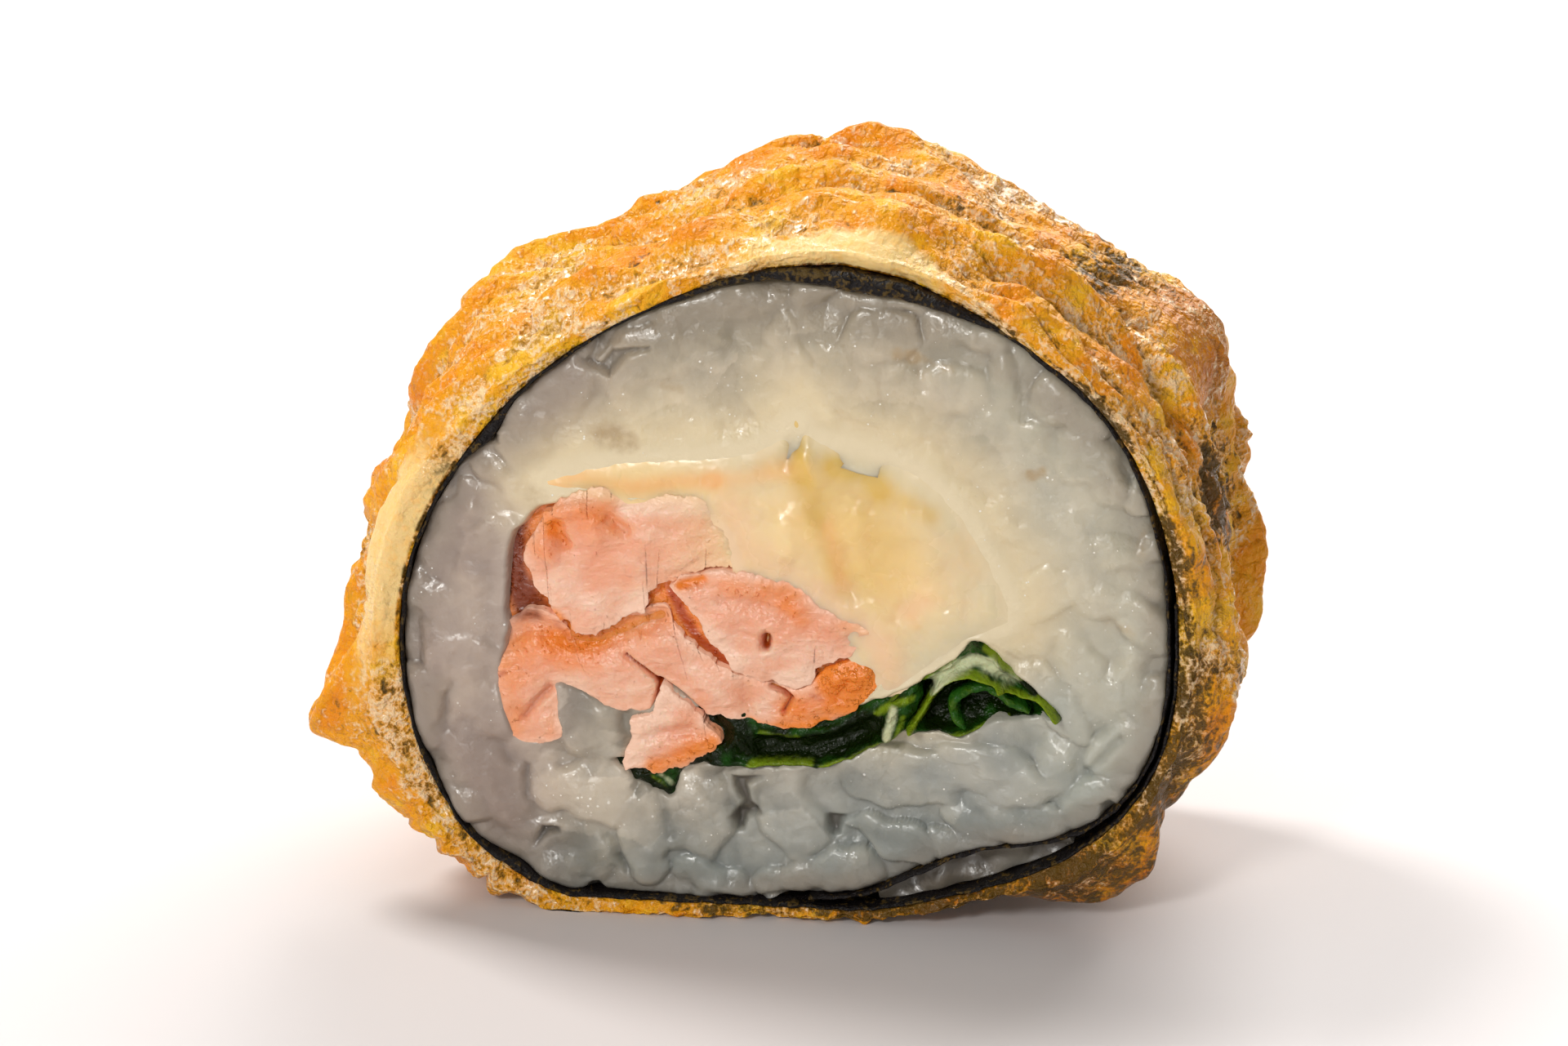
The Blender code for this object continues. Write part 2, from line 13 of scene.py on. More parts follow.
import bmesh
import bpy
import numpy as np
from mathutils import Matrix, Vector


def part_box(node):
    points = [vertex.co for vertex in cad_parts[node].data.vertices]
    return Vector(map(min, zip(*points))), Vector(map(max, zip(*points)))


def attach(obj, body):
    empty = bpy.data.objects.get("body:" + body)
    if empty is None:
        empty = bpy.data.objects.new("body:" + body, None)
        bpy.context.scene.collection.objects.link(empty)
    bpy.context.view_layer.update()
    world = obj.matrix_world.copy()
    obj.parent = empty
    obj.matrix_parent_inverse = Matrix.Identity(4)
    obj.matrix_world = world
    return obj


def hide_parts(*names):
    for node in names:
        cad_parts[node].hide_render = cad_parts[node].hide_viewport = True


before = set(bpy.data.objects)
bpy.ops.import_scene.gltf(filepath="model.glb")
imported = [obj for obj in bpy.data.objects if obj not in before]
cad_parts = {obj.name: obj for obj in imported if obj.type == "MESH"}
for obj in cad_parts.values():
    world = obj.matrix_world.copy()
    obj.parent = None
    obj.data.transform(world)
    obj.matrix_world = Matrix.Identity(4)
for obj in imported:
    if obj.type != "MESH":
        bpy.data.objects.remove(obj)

LOG = logging.getLogger("sushi_slice")
MM = 0.001

# The slice, as its solids have it: its length along the roll, the seaweed's outline at even angles
# from the right-hand side, and how far below the axis the belly is pressed flat
SLICE = 26.0
RADII = (24.6, 24.9, 24.9, 24.5, 24.3, 23.5, 23.6, 24.6, 26.0, 26.6, 25.6, 21.2, 19.4, 20.1, 22.3, 24.6)
BELLY = 19.2

Array = np.ndarray
Value = Union[float, "Channel"]
Colour = tuple[float, float, float]
Row = tuple[float, ...]
Rows = tuple[Row, ...]


class Side(Enum):
    """The two cuts of the slice, by which way they face along the roll."""

    FRONT = -1.0
    BACK = 1.0

    @property
    def shift(self) -> float:
        """How far off this cut reads its noise, so that the two cuts differ."""
        return 40.0 if self is Side.BACK else 0.0


# Curves and noise


def smooth(low: float, high: float, value: Array) -> Array:
    """Ease from 0 at low to 1 at high, 3s^2 - 2s^3 between.

    Args:
        low: where the ease starts. high: where it ends, and it may be the lower of the two.
        value: the numbers to ease.

    Returns:
        The eased share of each.
    """
    share = np.clip((value - low) / (high - low), 0.0, 1.0)
    return share * share * (3.0 - 2.0 * share)


def bell(value: Array, middle: float, spread: float) -> Array:
    """A bell of height 1: e to the minus ((value - middle) / spread) squared."""
    return np.exp(-(((value - middle) / spread) ** 2))


def even_series(values: Sequence[float], turn: Array) -> Array:
    """The smooth closed curve through values that stand at even turns: their Fourier sum.

    Args:
        values: one value for each even step round. turn: where to read it, in turns.

    Returns:
        The curve's height at each turn.
    """
    parts = np.fft.rfft(values) / len(values)
    waves = np.exp(2j * np.pi * np.mod(turn, 1.0)[..., None] * np.arange(len(parts)))
    weights = np.where(np.arange(len(parts)) % (len(values) // 2) == 0, 1.0, 2.0)
    return np.real(waves @ (parts * weights))


def turn_gap(turn: Array, middle: float) -> Array:
    """The shortest way round from middle to each turn, in turns."""
    return np.mod(turn - middle + 0.5, 1.0) - 0.5


def near_turn(turn: Array, middle: float, spread: float) -> Array:
    """A bell of height 1 round one turn, its spread in turns."""
    return bell(turn_gap(turn, middle), 0.0, spread)


def swirl(x: Array, y: Array, seed: int, period: int = 256) -> Array:
    """Gradient noise, about -1 to 1: slopes drawn at whole coordinates and blended between them.

    Args:
        x: first coordinate, repeating after period cells. y: second coordinate.
        seed: which draw of slopes. period: cells before x repeats.

    Returns:
        The noise at each point.
    """
    rows = 256
    angle = np.random.default_rng(seed).uniform(0.0, 2.0 * np.pi, (period, rows))
    column, row = np.floor(x).astype(int), np.floor(y).astype(int)
    across, down = x - column, y - row

    def corner(right: int, below: int) -> Array:
        """The slope at one corner of the cell, reached out to the point."""
        slope = angle[(column + right) % period, (row + below) % rows]
        return np.cos(slope) * (across - right) + np.sin(slope) * (down - below)

    ease_x = across**3 * (across * (across * 6.0 - 15.0) + 10.0)
    ease_y = down**3 * (down * (down * 6.0 - 15.0) + 10.0)
    top = corner(0, 0) + ease_x * (corner(1, 0) - corner(0, 0))
    bottom = corner(0, 1) + ease_x * (corner(1, 1) - corner(0, 1))
    return 1.5 * (top + ease_y * (bottom - top))


def drift(x: Array, y: Array, seed: int, layers: int = 3, period: int = 256) -> Array:
    """A sum of swirls, each twice as fine as the one before and half as strong."""
    return sum(0.5**i * swirl(x * 2.0**i, y * 2.0**i, seed + i, period * 2**i) for i in range(layers))


def curve_through(points: Row, count: int, tight: float = 0.5) -> Array:
    """A curve through points, by cubic pieces whose slopes follow their neighbours, at even lengths.

    Args:
        points: x and z of each point in turn. count: how many points to return.
        tight: the slopes' share of the way between neighbours.

    Returns:
        count points of x and z.
    """
    knots = np.reshape(points, (-1, 2))
    padded = np.vstack([2.0 * knots[0] - knots[1], knots, 2.0 * knots[-1] - knots[-2]])
    place = np.linspace(0.0, len(knots) - 1.0, 12 * len(knots))
    cell = np.minimum(place.astype(int), len(knots) - 2)
    t = (place - cell)[:, None]
    before, start, end, after = (padded[cell + i] for i in range(4))
    slope_in, slope_out = tight * (end - before), tight * (after - start)
    line = (
        (2.0 * t**3 - 3.0 * t**2 + 1.0) * start
        + (t**3 - 2.0 * t**2 + t) * slope_in
        + (3.0 * t**2 - 2.0 * t**3) * end
        + (t**3 - t**2) * slope_out
    )
    lengths = np.concatenate([[0.0], np.cumsum(np.linalg.norm(np.diff(line, axis=0), axis=1))])
    even = np.linspace(0.0, lengths[-1], count)
    return np.column_stack([np.interp(even, lengths, line[:, i]) for i in (0, 1)])


def edge_distance(x: Array, z: Array, loop: Array) -> Array:
    """Signed distance to a closed line, positive outside: the nearest of its straight pieces.

    Args:
        x: first coordinates. z: second coordinates, of the same shape. loop: the line's points.

    Returns:
        The distances, of the same shape.
    """
    places = np.column_stack([np.ravel(x), np.ravel(z)]).astype(np.float32)
    start = loop.astype(np.float32)
    end = np.roll(start, -1, axis=0)
    run = end - start
    length = np.maximum((run**2).sum(axis=1), 1e-9)
    found = []
    for part in np.array_split(places, max(1, len(places) // 8000)):
        offset = part[:, None, :] - start[None]
        share = np.clip((offset * run).sum(axis=2) / length, 0.0, 1.0)
        near = np.sqrt((((offset - share[..., None] * run) ** 2).sum(axis=2)).min(axis=1))
        above = (start[:, 1] > part[:, 1:]) != (end[:, 1] > part[:, 1:])
        level = np.where(run[:, 1] == 0.0, 1.0, run[:, 1])
        crossing = run[:, 0] * (part[:, 1:] - start[:, 1]) / level + start[:, 0]
        inside = np.count_nonzero(above & (part[:, :1] < crossing), axis=1) % 2 == 1
        found.append(np.where(inside, -near, near))
    return np.concatenate(found).reshape(np.shape(x)).astype(float)


class Outline:
    """The seaweed's outer line: a lopsided oval with its belly pressed flat."""

    SAMPLES = 2880

    def __init__(self) -> None:
        """Works out the line at even angles and how far round it each point lies."""
        angle = np.linspace(0.0, 2.0 * np.pi, self.SAMPLES + 1)
        radius = even_series(RADII, angle / (2.0 * np.pi))
        self.points = np.column_stack([radius * np.cos(angle), np.maximum(radius * np.sin(angle), -BELLY)])
        steps = np.linalg.norm(np.diff(self.points, axis=0), axis=1)
        along = np.concatenate([[0.0], np.cumsum(steps)])
        self.length = along[-1]
        self.turns = along / self.length

    def at(self, turn: Array) -> Array:
        """Points x, z at these turns, counted anticlockwise from the right-hand side."""
        wrapped = np.mod(turn, 1.0)
        return np.stack([np.interp(wrapped, self.turns, self.points[:, i]) for i in (0, 1)], axis=-1)

    def outward(self, turn: Array) -> Array:
        """Unit normals at these turns, smoothed over a short stretch."""
        reach = 0.006
        tangent = self.at(turn + reach) - self.at(turn - reach)
        tangent /= np.linalg.norm(tangent, axis=-1, keepdims=True)
        return np.stack([tangent[..., 1], -tangent[..., 0]], axis=-1)

    def moved(self, turn: Array, outwards: Array) -> Array:
        """Points moved out along the normals, by one distance or one for each."""
        return self.at(turn) + self.outward(turn) * (np.zeros_like(turn) + outwards)[..., None]


OUTLINE = Outline()


def near_place(turn: Array, middle: float, spread: float) -> Array:
    """A bell of height 1 round one turn, its spread in millimetres round the roll."""
    return bell(turn_gap(turn, middle) * OUTLINE.length, 0.0, spread)


# Meshes


def quads(rows: int, columns: int, wrap_rows: bool = False, wrap_columns: bool = False) -> Array:
    """Four-cornered faces of a grid whose points are numbered row by row.

    Args:
        rows: how many rows. columns: how many points in a row.
        wrap_rows: join the last row to the first. wrap_columns: join each row's ends.

    Returns:
        One row of four point numbers for each face.
    """
    row = np.arange(rows if wrap_rows else rows - 1)
    column = np.arange(columns if wrap_columns else columns - 1)
    first, second = np.meshgrid(row, column, indexing="ij")
    below, right = (first + 1) % rows, (second + 1) % columns
    here, next_row = first * columns, below * columns
    corners = (here + second, next_row + second, next_row + right, here + right)
    return np.stack(corners, axis=-1).reshape(-1, 4)


def strip_faces(rows: int, columns: int) -> list[list[int]]:
    """The faces of a strip whose rows go once round it, with one face at each of its two ends."""
    ends = columns * np.arange(rows)
    return quads(rows, columns, True, False).tolist() + [ends.tolist(), (ends + columns - 1).tolist()]


def rim_of(rows: int, columns: int) -> Array:
    """The numbers of a grid's edge points, once round."""
    number = np.arange(rows * columns).reshape(rows, columns)
    return np.concatenate([number[0, :-1], number[:-1, -1], number[-1, :0:-1], number[:0:-1, 0]])


def between_cuts(front: Array, back: Array) -> tuple[Array, list[list[int]]]:
    """A closed solid between two grids of one shape, with a straight wall from rim to rim.

    Args:
        front: points of the front cut, rows by columns by x, y, z. back: those of the back cut.

    Returns:
        The points and the faces.
    """
    rows, columns = front.shape[:2]
    count = rows * columns
    rim = rim_of(rows, columns)
    front, back = front.reshape(-1, 3), back.reshape(-1, 3)
    middle = front[rim] + (back[rim] - front[rim]) / 2.0
    points = np.concatenate([front, back, middle])
    rings = [rim, 2 * count + np.arange(len(rim)), rim + count]
    faces = quads(rows, columns).tolist() + (quads(rows, columns)[:, ::-1] + count).tolist()
    for near, far in zip(rings[:-1], rings[1:]):
        wall = np.stack([near, far, np.roll(far, -1), np.roll(near, -1)], axis=-1)
        faces += wall[:, ::-1].tolist()
    return points, faces


def one_cut(face: Array, depth: float) -> tuple[Array, list[list[int]]]:
    """A closed solid behind one detailed cut: a wall from its rim to a plain flat end.

    Args:
        face: points of the cut, rows by columns by x, y, z. depth: y of the plain end.

    Returns:
        The points and the faces.
    """
    rows, columns = face.shape[:2]
    rim = rim_of(rows, columns)
    flat = face.reshape(-1, 3)
    ring = flat[rim] * [1.0, 0.0, 1.0] + [0.0, depth, 0.0]
    number = rows * columns + np.arange(len(rim))
    wall = np.stack([rim, np.roll(rim, -1), np.roll(number, -1), number], axis=-1)
    faces = quads(rows, columns).tolist() + wall.tolist() + [number.tolist()]
    return np.concatenate([flat, ring]), faces


@dataclass(frozen=True)
class Place:
    """Where the roll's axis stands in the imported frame, in millimetres."""

    x: float
    y: float
    z: float

    @classmethod
    def of_frame(cls) -> "Place":
        """Reads the axis off the seaweed's box, and the middle of the slice off a filling's."""
        low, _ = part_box("nori_sheet")
        near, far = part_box("salmon_flake")
        x = low[0] / MM - OUTLINE.points[:, 0].min()
        return cls(x, 0.5 * (near[1] + far[1]) / MM, low[2] / MM + BELLY)

    @property
    def floor(self) -> float:
        """The table's height in the roll's own plane."""
        return -self.z


def new_piece(
    name: str,
    shape: tuple[Array, Iterable[Iterable[int]]],
    marks: dict[str, Array],
    finish: "Finish",
    place: Place,
    node: str,
) -> bpy.types.Object:
    """Makes one piece of the slice, facing outwards, and hands it to the frame.

    Args:
        name: the piece's name. shape: its points in millimetres and its faces.
        marks: numbers at each point that its finish reads, by name. finish: how it looks.
        place: the roll's axis in the frame. node: the solid that it replaces, which it hides.

    Returns:
        The new object.
    """
    points, faces = shape
    mesh = bpy.data.meshes.new(name)
    mesh.from_pydata(((points + [place.x, place.y, place.z]) * MM).tolist(), [], list(faces))
    for mark, values in marks.items():
        layer = mesh.attributes.new(mark, "FLOAT", "POINT")
        padded = np.zeros(len(points), np.float32)
        padded[: np.size(values)] = np.ravel(values)
        layer.data.foreach_set("value", padded)
    body = bmesh.new()
    body.from_mesh(mesh)
    bmesh.ops.remove_doubles(body, verts=body.verts, dist=0.002 * MM)
    if body.calc_volume(signed=True) < 0.0:
        bmesh.ops.reverse_faces(body, faces=body.faces)
    body.to_mesh(mesh)
    triangles = sum(len(face.verts) - 2 for face in body.faces)
    body.free()
    mesh.shade_smooth()
    piece = bpy.data.objects.new(name, mesh)
    bpy.context.scene.collection.objects.link(piece)
    mesh.materials.append(finish.material())
    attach(piece, "root")
    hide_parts(node)
    LOG.info("%s: %d triangles", name, triangles)
    return piece


# Shader values and finishes


class Channel:
    """A shader value. Sums written with it add the Math nodes that work them out."""

    def __init__(self, tree: bpy.types.NodeTree, socket: bpy.types.NodeSocket) -> None:
        """Wraps one output socket of a node tree."""
        self.tree = tree
        self.socket = socket

    def math(self, operation: str, *values: Value) -> "Channel":
        """Adds one Math node.

        Args:
            operation: the node's operation. values: its inputs in order.

        Returns:
            The node's output.
        """
        node = self.tree.nodes.new("ShaderNodeMath")
        node.operation = operation
        for socket, value in zip(node.inputs, values):
            if isinstance(value, Channel):
                self.tree.links.new(value.socket, socket)
            else:
                socket.default_value = value
        return Channel(self.tree, node.outputs[0])

    def __add__(self, other: Value) -> "Channel":
        """self + other."""
        return self.math("ADD", self, other)

    __radd__ = __add__

    def __sub__(self, other: Value) -> "Channel":
        """self - other."""
        return self.math("SUBTRACT", self, other)

    def __rsub__(self, other: Value) -> "Channel":
        """other - self."""
        return self.math("SUBTRACT", other, self)

    def __mul__(self, other: Value) -> "Channel":
        """self times other."""
        return self.math("MULTIPLY", self, other)

    __rmul__ = __mul__

    def step(self, low: float, high: float) -> "Channel":
        """A smooth step of this value from 0 at low to 1 at high."""
        node = self.tree.nodes.new("ShaderNodeMapRange")
        node.interpolation_type = "SMOOTHSTEP"
        self.tree.links.new(self.socket, node.inputs["Value"])
        node.inputs["From Min"].default_value = low
        node.inputs["From Max"].default_value = high
        return Channel(self.tree, node.outputs["Result"])

    def clamp(self) -> "Channel":
        """This value held between 0 and 1."""
        return self.math("MAXIMUM", self.math("MINIMUM", self, 1.0), 0.0)


class Recipe:
    """A material's node tree while it is being put together."""

    def __init__(self, name: str) -> None:
        """Starts a material of this name with one Principled shader."""
        self.material = bpy.data.materials.new(name)
        self.material.use_nodes = True
        self.tree = self.material.node_tree
        self.shader = self.tree.nodes["Principled BSDF"]
        place = self.node("ShaderNodeTexCoord")
        sockets = {0: place.outputs["Object"], "Scale": 1.0 / MM}
        self.place = self.node("ShaderNodeVectorMath", {"operation": "SCALE"}, sockets).outputs[0]

    def node(self, kind: str, settings: dict | None = None, sockets: dict | None = None) -> bpy.types.Node:
        """Adds any node.

        Args:
            kind: the node's type. settings: its properties, set first.
            sockets: input values, channels or output sockets, by name or number.

        Returns:
            The node.
        """
        made = self.tree.nodes.new(kind)
        for key, value in (settings or {}).items():
            setattr(made, key, value)
        for key, value in (sockets or {}).items():
            if isinstance(value, Channel):
                value = value.socket
            if isinstance(value, bpy.types.NodeSocket):
                self.tree.links.new(value, made.inputs[key])
            else:
                made.inputs[key].default_value = value
        return made

    def mark(self, name: str) -> Channel:
        """Reads numbers that a piece carries at its points."""
        return Channel(self.tree, self.node("ShaderNodeAttribute", {"attribute_name": name}).outputs["Fac"])

    def stretched(self, x: float, y: float, z: float) -> bpy.types.NodeSocket:
        """The point's place in millimetres, with each axis scaled."""
        return self.node("ShaderNodeMapping", {}, {"Vector": self.place, "Scale": (x, y, z)}).outputs[0]

    def noise(
        self, scale: float, detail: float = 3.0, vector: bpy.types.NodeSocket | None = None, warp: float = 0.0
    ) -> Channel:
        """Fractal noise, 0 to 1.

        Args:
            scale: cells to a millimetre. detail: how many finer layers. vector: where to read it.
            warp: how far it is distorted.

        Returns:
            The noise.
        """
        sockets = {"Vector": vector or self.place, "Scale": scale, "Detail": detail, "Distortion": warp}
        return Channel(self.tree, self.node("ShaderNodeTexNoise", {}, sockets).outputs["Fac"])

    def cells(self, scale: float, vector: bpy.types.NodeSocket) -> Channel:
        """The distance to the nearest of scattered points, with scale of them to a millimetre."""
        sockets = {"Vector": vector, "Scale": scale, "Randomness": 1.0}
        return Channel(self.tree, self.node("ShaderNodeTexVoronoi", {}, sockets).outputs["Distance"])

    def mix(self, share: Value, first: object, second: object) -> bpy.types.NodeSocket:
        """Blends two colours: the first where share is 0, the second where it is 1."""
        colours = [(*c, 1.0) if isinstance(c, tuple) else c for c in (first, second)]
        made = self.node("ShaderNodeMix", {"data_type": "RGBA"}, {0: share, 6: colours[0], 7: colours[1]})
        return made.outputs[2]

    def bump(self, height: Channel, distance: float, strength: float = 1.0) -> None:
        """Feeds the shader's normal from a height, with distance in millimetres for a height of 1."""
        sockets = {"Height": height, "Distance": distance * MM, "Strength": strength}
        made = self.node("ShaderNodeBump", {}, sockets)
        self.tree.links.new(made.outputs[0], self.shader.inputs["Normal"])

    def feed(
        self, varying: dict[str, object], fixed: dict[str, object], dense: Channel | None = None
    ) -> bpy.types.Material:
        """Joins what varies to the shader and sets what doesn't.

        Args:
            varying: channels or colour sockets by input name. fixed: plain values by input name.
            dense: the share of a twin shader that lets no light sink in, for borders, which would
                otherwise darken where another piece covers them.

        Returns:
            The finished material.
        """
        for key, value in varying.items():
            socket = value.socket if isinstance(value, Channel) else value
            self.tree.links.new(socket, self.shader.inputs[key])
        for key, value in fixed.items():
            self.shader.inputs[key].default_value = value
        if dense is not None:
            relief = self.shader.inputs["Normal"].links[0].from_socket
            sockets = fixed | varying | {"Subsurface Weight": 0.0, "Normal": relief}
            twin = self.node("ShaderNodeBsdfPrincipled", {}, sockets)
            sockets = {0: dense, 1: self.shader.outputs[0], 2: twin.outputs[0]}
            mixed = self.node("ShaderNodeMixShader", {}, sockets).outputs[0]
            self.tree.links.new(mixed, self.tree.nodes["Material Output"].inputs["Surface"])
        return self.material


@dataclass(frozen=True)
class Finish:
    """A named look. Each kind says how its own material is made."""

    name: str

    def material(self) -> bpy.types.Material:
        """The material, made once and shared."""
        made = bpy.data.materials.get(self.name)
        return made or self.make(Recipe(self.name))

    def make(self, recipe: Recipe) -> bpy.types.Material:
        """Puts the material together."""
        raise NotImplementedError


@dataclass(frozen=True)
class BatterFinish(Finish):
    """Fried batter: golden and oily, straw where it is rough, olive where seaweed shows through, with painted
    shade and painted glints.
    """

    golden: Colour = (0.79, 0.325, 0.006)
    deep: Colour = (0.76, 0.245, 0.003)
    yellow: Colour = (0.82, 0.425, 0.014)
    # pale: the batter's froth, and painted glints on the highs of its fine relief
    pale: Colour = (0.88, 0.63, 0.36)
    # Painted shade for the small valleys of the relief
    shade_amber: Colour = (0.34, 0.17, 0.025)
    # olive: the seaweed seen through thin batter, and painted shade by the rims and at the lower right
    olive: Colour = (0.075, 0.045, 0.009)
    brown: Colour = (0.42, 0.12, 0.006)
    cream: Colour = (0.82, 0.58, 0.24)
    straw: Colour = (0.86, 0.53, 0.17)

    def make(self, recipe: Recipe) -> bpy.types.Material:
        """Blends the tones by patch and browning, darkens the small valleys as painted shade, froths them
        with pale wet flecks that are partly painted glints, and lets the seaweed's olive through between the
        flecks where the batter is thin; the same olive is painted shade by the rims and at the lower right."""
        crest, rough, thin, burnt, cut = (recipe.mark(m) for m in ("crest", "rough", "thin", "burnt", "cut"))
        drawn, even = recipe.stretched(0.8, 1.3, 0.8), recipe.stretched(1.0, 0.45, 1.0)
        streak = recipe.noise(0.9, 4.0, drawn, 0.8) - 0.5
        blotch = recipe.noise(0.25, 3.0, even, 0.5) - 0.5
        grit = recipe.noise(1.9, 3.0, drawn, 0.4) - 0.5
        spark = recipe.noise(4.0, 2.0, even) - 0.5
        bubble = recipe.cells(1.7, even)
        colour = recipe.mix((blotch * 2.4 + streak * 0.6).step(-0.4, -0.05), self.yellow, self.golden)
        colour = recipe.mix((blotch * 2.2 + streak * 0.8 - rough * 0.35).step(-0.1, 0.4), colour, self.deep)
        # Painted shade: the small valleys of the fine relief and of the noise darken.
        valley_shade = rough * 0.1 - crest * 0.75 - streak * 1.3 - grit * 1.3 - spark * 0.7
        colour = recipe.mix(valley_shade.step(0.22, 0.85) * 0.85, colour, self.shade_amber)
        brown = (burnt + grit * 1.3 + streak * 0.6 - crest * 0.25).step(0.2, 0.8)
        colour = recipe.mix(brown * 0.75, colour, self.brown)
        # Pale flecks on the highs of the fine relief: partly the batter's froth, partly painted glints.
        foam_and_glint = rough * 0.5 + streak * 2.0 + grit * 1.6 + spark * 1.8 - burnt * 0.25 - thin * 0.25 + 0.04
        colour = recipe.mix(foam_and_glint.step(0.18, 1.0) * 0.92, colour, self.pale)
        # Olive where the batter is thin over the seaweed, and as painted shade where the thin mark carries
        # it.
        seaweed_and_shade = thin.clamp() * 0.85 + blotch * 1.4 - streak * 1.4 - grit * 1.3 - spark * 1.0 - crest * 0.4
        colour = recipe.mix(seaweed_and_shade.step(0.4, 0.95) * 0.92, colour, self.olive)
        crumb = recipe.mix((grit * 1.2 + streak).step(-0.1, 0.35), self.cream, self.straw)
        colour = recipe.mix((cut + streak * 0.8 + grit * 0.5).step(0.3, 0.9), colour, crumb)
        height = streak * 0.5 + grit * 0.35 + spark * (rough * 0.3 + 0.2) - bubble * bubble * 0.3
        recipe.bump(height * (1.0 - cut * 0.75), 0.75)
        gloss = 0.3 - foam_and_glint.step(0.2, 0.9) * 0.14 + grit * 0.2
        fixed = {
            "Specular IOR Level": 0.2,
            "Coat Roughness": 0.12,
            "Subsurface Weight": 0.15,
            "Subsurface Radius": (0.9, 0.35, 0.08),
            "Subsurface Scale": 1.0 * MM,
        }
        coat = foam_and_glint.step(0.45, 1.0) * 0.7
        return recipe.feed({"Base Color": colour, "Roughness": gloss, "Coat Weight": coat}, fixed)


@dataclass(frozen=True)
class SeaweedFinish(Finish):
    """Roasted seaweed: near black, brown and speckled where it is wrinkled."""

    black: Colour = (0.006, 0.004, 0.004)
    brown: Colour = (0.085, 0.050, 0.009)

    def make(self, recipe: Recipe) -> bpy.types.Material:
        """Blends black and brown by wrinkle, with fine creases in the relief."""
        crinkle = recipe.noise(1.5, 5.0, recipe.stretched(1.0, 0.6, 1.0), 0.8)
        grit = recipe.noise(4.0, 2.0)
        worn = crinkle * 0.65 + grit * 0.35 + recipe.mark("fold") * 0.05
        colour = recipe.mix(worn.step(0.53, 0.62), self.black, self.brown)
        recipe.bump(crinkle + grit * 0.4, 0.5)
        fixed = {"Specular IOR Level": 0.25}
        return recipe.feed({"Base Color": colour, "Roughness": 0.35 + crinkle * 0.3}, fixed)


@dataclass(frozen=True)
class RiceFinish(Finish):
    """Cooked rice: translucent and wet, whiter in some grains, warm by the cheese, cool at the belly, with
    painted shade in its gaps and by the seaweed.
    """

    white: Colour = (0.56, 0.49, 0.39)
    clear: Colour = (0.20, 0.18, 0.14)
    warm: Colour = (0.71, 0.595, 0.385)
    cool: Colour = (0.30, 0.34, 0.33)
    fresh: Colour = (0.47, 0.48, 0.41)
    mauve: Colour = (0.38, 0.28, 0.24)
    taupe: Colour = (0.40, 0.28, 0.14)
    # Painted shade for the gaps between grains
    pit_shade: Colour = (0.12, 0.10, 0.075)
    # Painted shade near the seaweed, widest at the top
    rim_shade_grey: Colour = (0.28, 0.235, 0.185)
    # White of the rice's own pale specks, and of painted glints
    speck_and_glint_white: Colour = (0.95, 0.93, 0.88)

    def make(self, recipe: Recipe) -> bpy.types.Material:
        """Blends the tones by grain and zone, paints shade into the gaps and next to the seaweed, and adds
        pale specks that are partly the rice's own and partly painted glints.
        """
        grain, gap, warm, cool = (recipe.mark(m) for m in ("grain", "gap", "warm", "cool"))
        fresh, mauve, taupe, ring = (recipe.mark(m) for m in ("fresh", "mauve", "taupe", "ring"))
        cloud = recipe.noise(0.3, 3.0) - 0.5
        mist = recipe.noise(1.1, 3.0) - 0.5
        colour = recipe.mix((grain + cloud * 0.7 + mist * 0.25).step(0.05, 0.95), self.clear, self.white)
        colour = recipe.mix(mauve * 0.6, colour, self.mauve)
        colour = recipe.mix(cool * 0.6, colour, self.cool)
        colour = recipe.mix(fresh * 0.55, colour, self.fresh)
        colour = recipe.mix((warm + cloud * 0.4).clamp() * 0.95, colour, self.warm)
        # Painted shade: grey near the seaweed.
        colour = recipe.mix((ring + cloud * 0.9).step(0.4, 1.15) * 0.65, colour, self.rim_shade_grey)
        colour = recipe.mix((taupe + mist * 1.5 * taupe.clamp()).step(0.3, 0.9) * 0.75, colour, self.taupe)
        # Painted shade in the gaps
        colour = recipe.mix(gap.step(0.1, 0.9) * 0.9, colour, self.pit_shade)
        # Pale specks in clusters: partly the rice's own, partly painted glints.
        cluster = recipe.noise(0.33, 2.0).step(0.44, 0.6)
        drops = recipe.cells(1.9, recipe.place)
        size = (mist + grain * 0.2).step(-0.2, 0.5) * 0.28
        beads = (size - drops).step(0.0, 0.06) * cluster
        colour = recipe.mix(beads * 0.8, colour, self.speck_and_glint_white)
        height = recipe.noise(0.8, 3.0) * 0.8 + recipe.noise(3.0, 1.0) * cluster * 0.25 + beads * 0.15
        recipe.bump(height, 0.22)
        fixed = {
            "Subsurface Weight": 0.85,
            "Subsurface Radius": (1.0, 0.9, 0.75),
            "Subsurface Scale": 2.6 * MM,
            "Coat Weight": 0.25,
            "Coat Roughness": 0.08,
        }
        varying = {"Base Color": colour, "Roughness": 0.32 - beads * 0.15}
        return recipe.feed(varying, fixed, recipe.mark("border"))


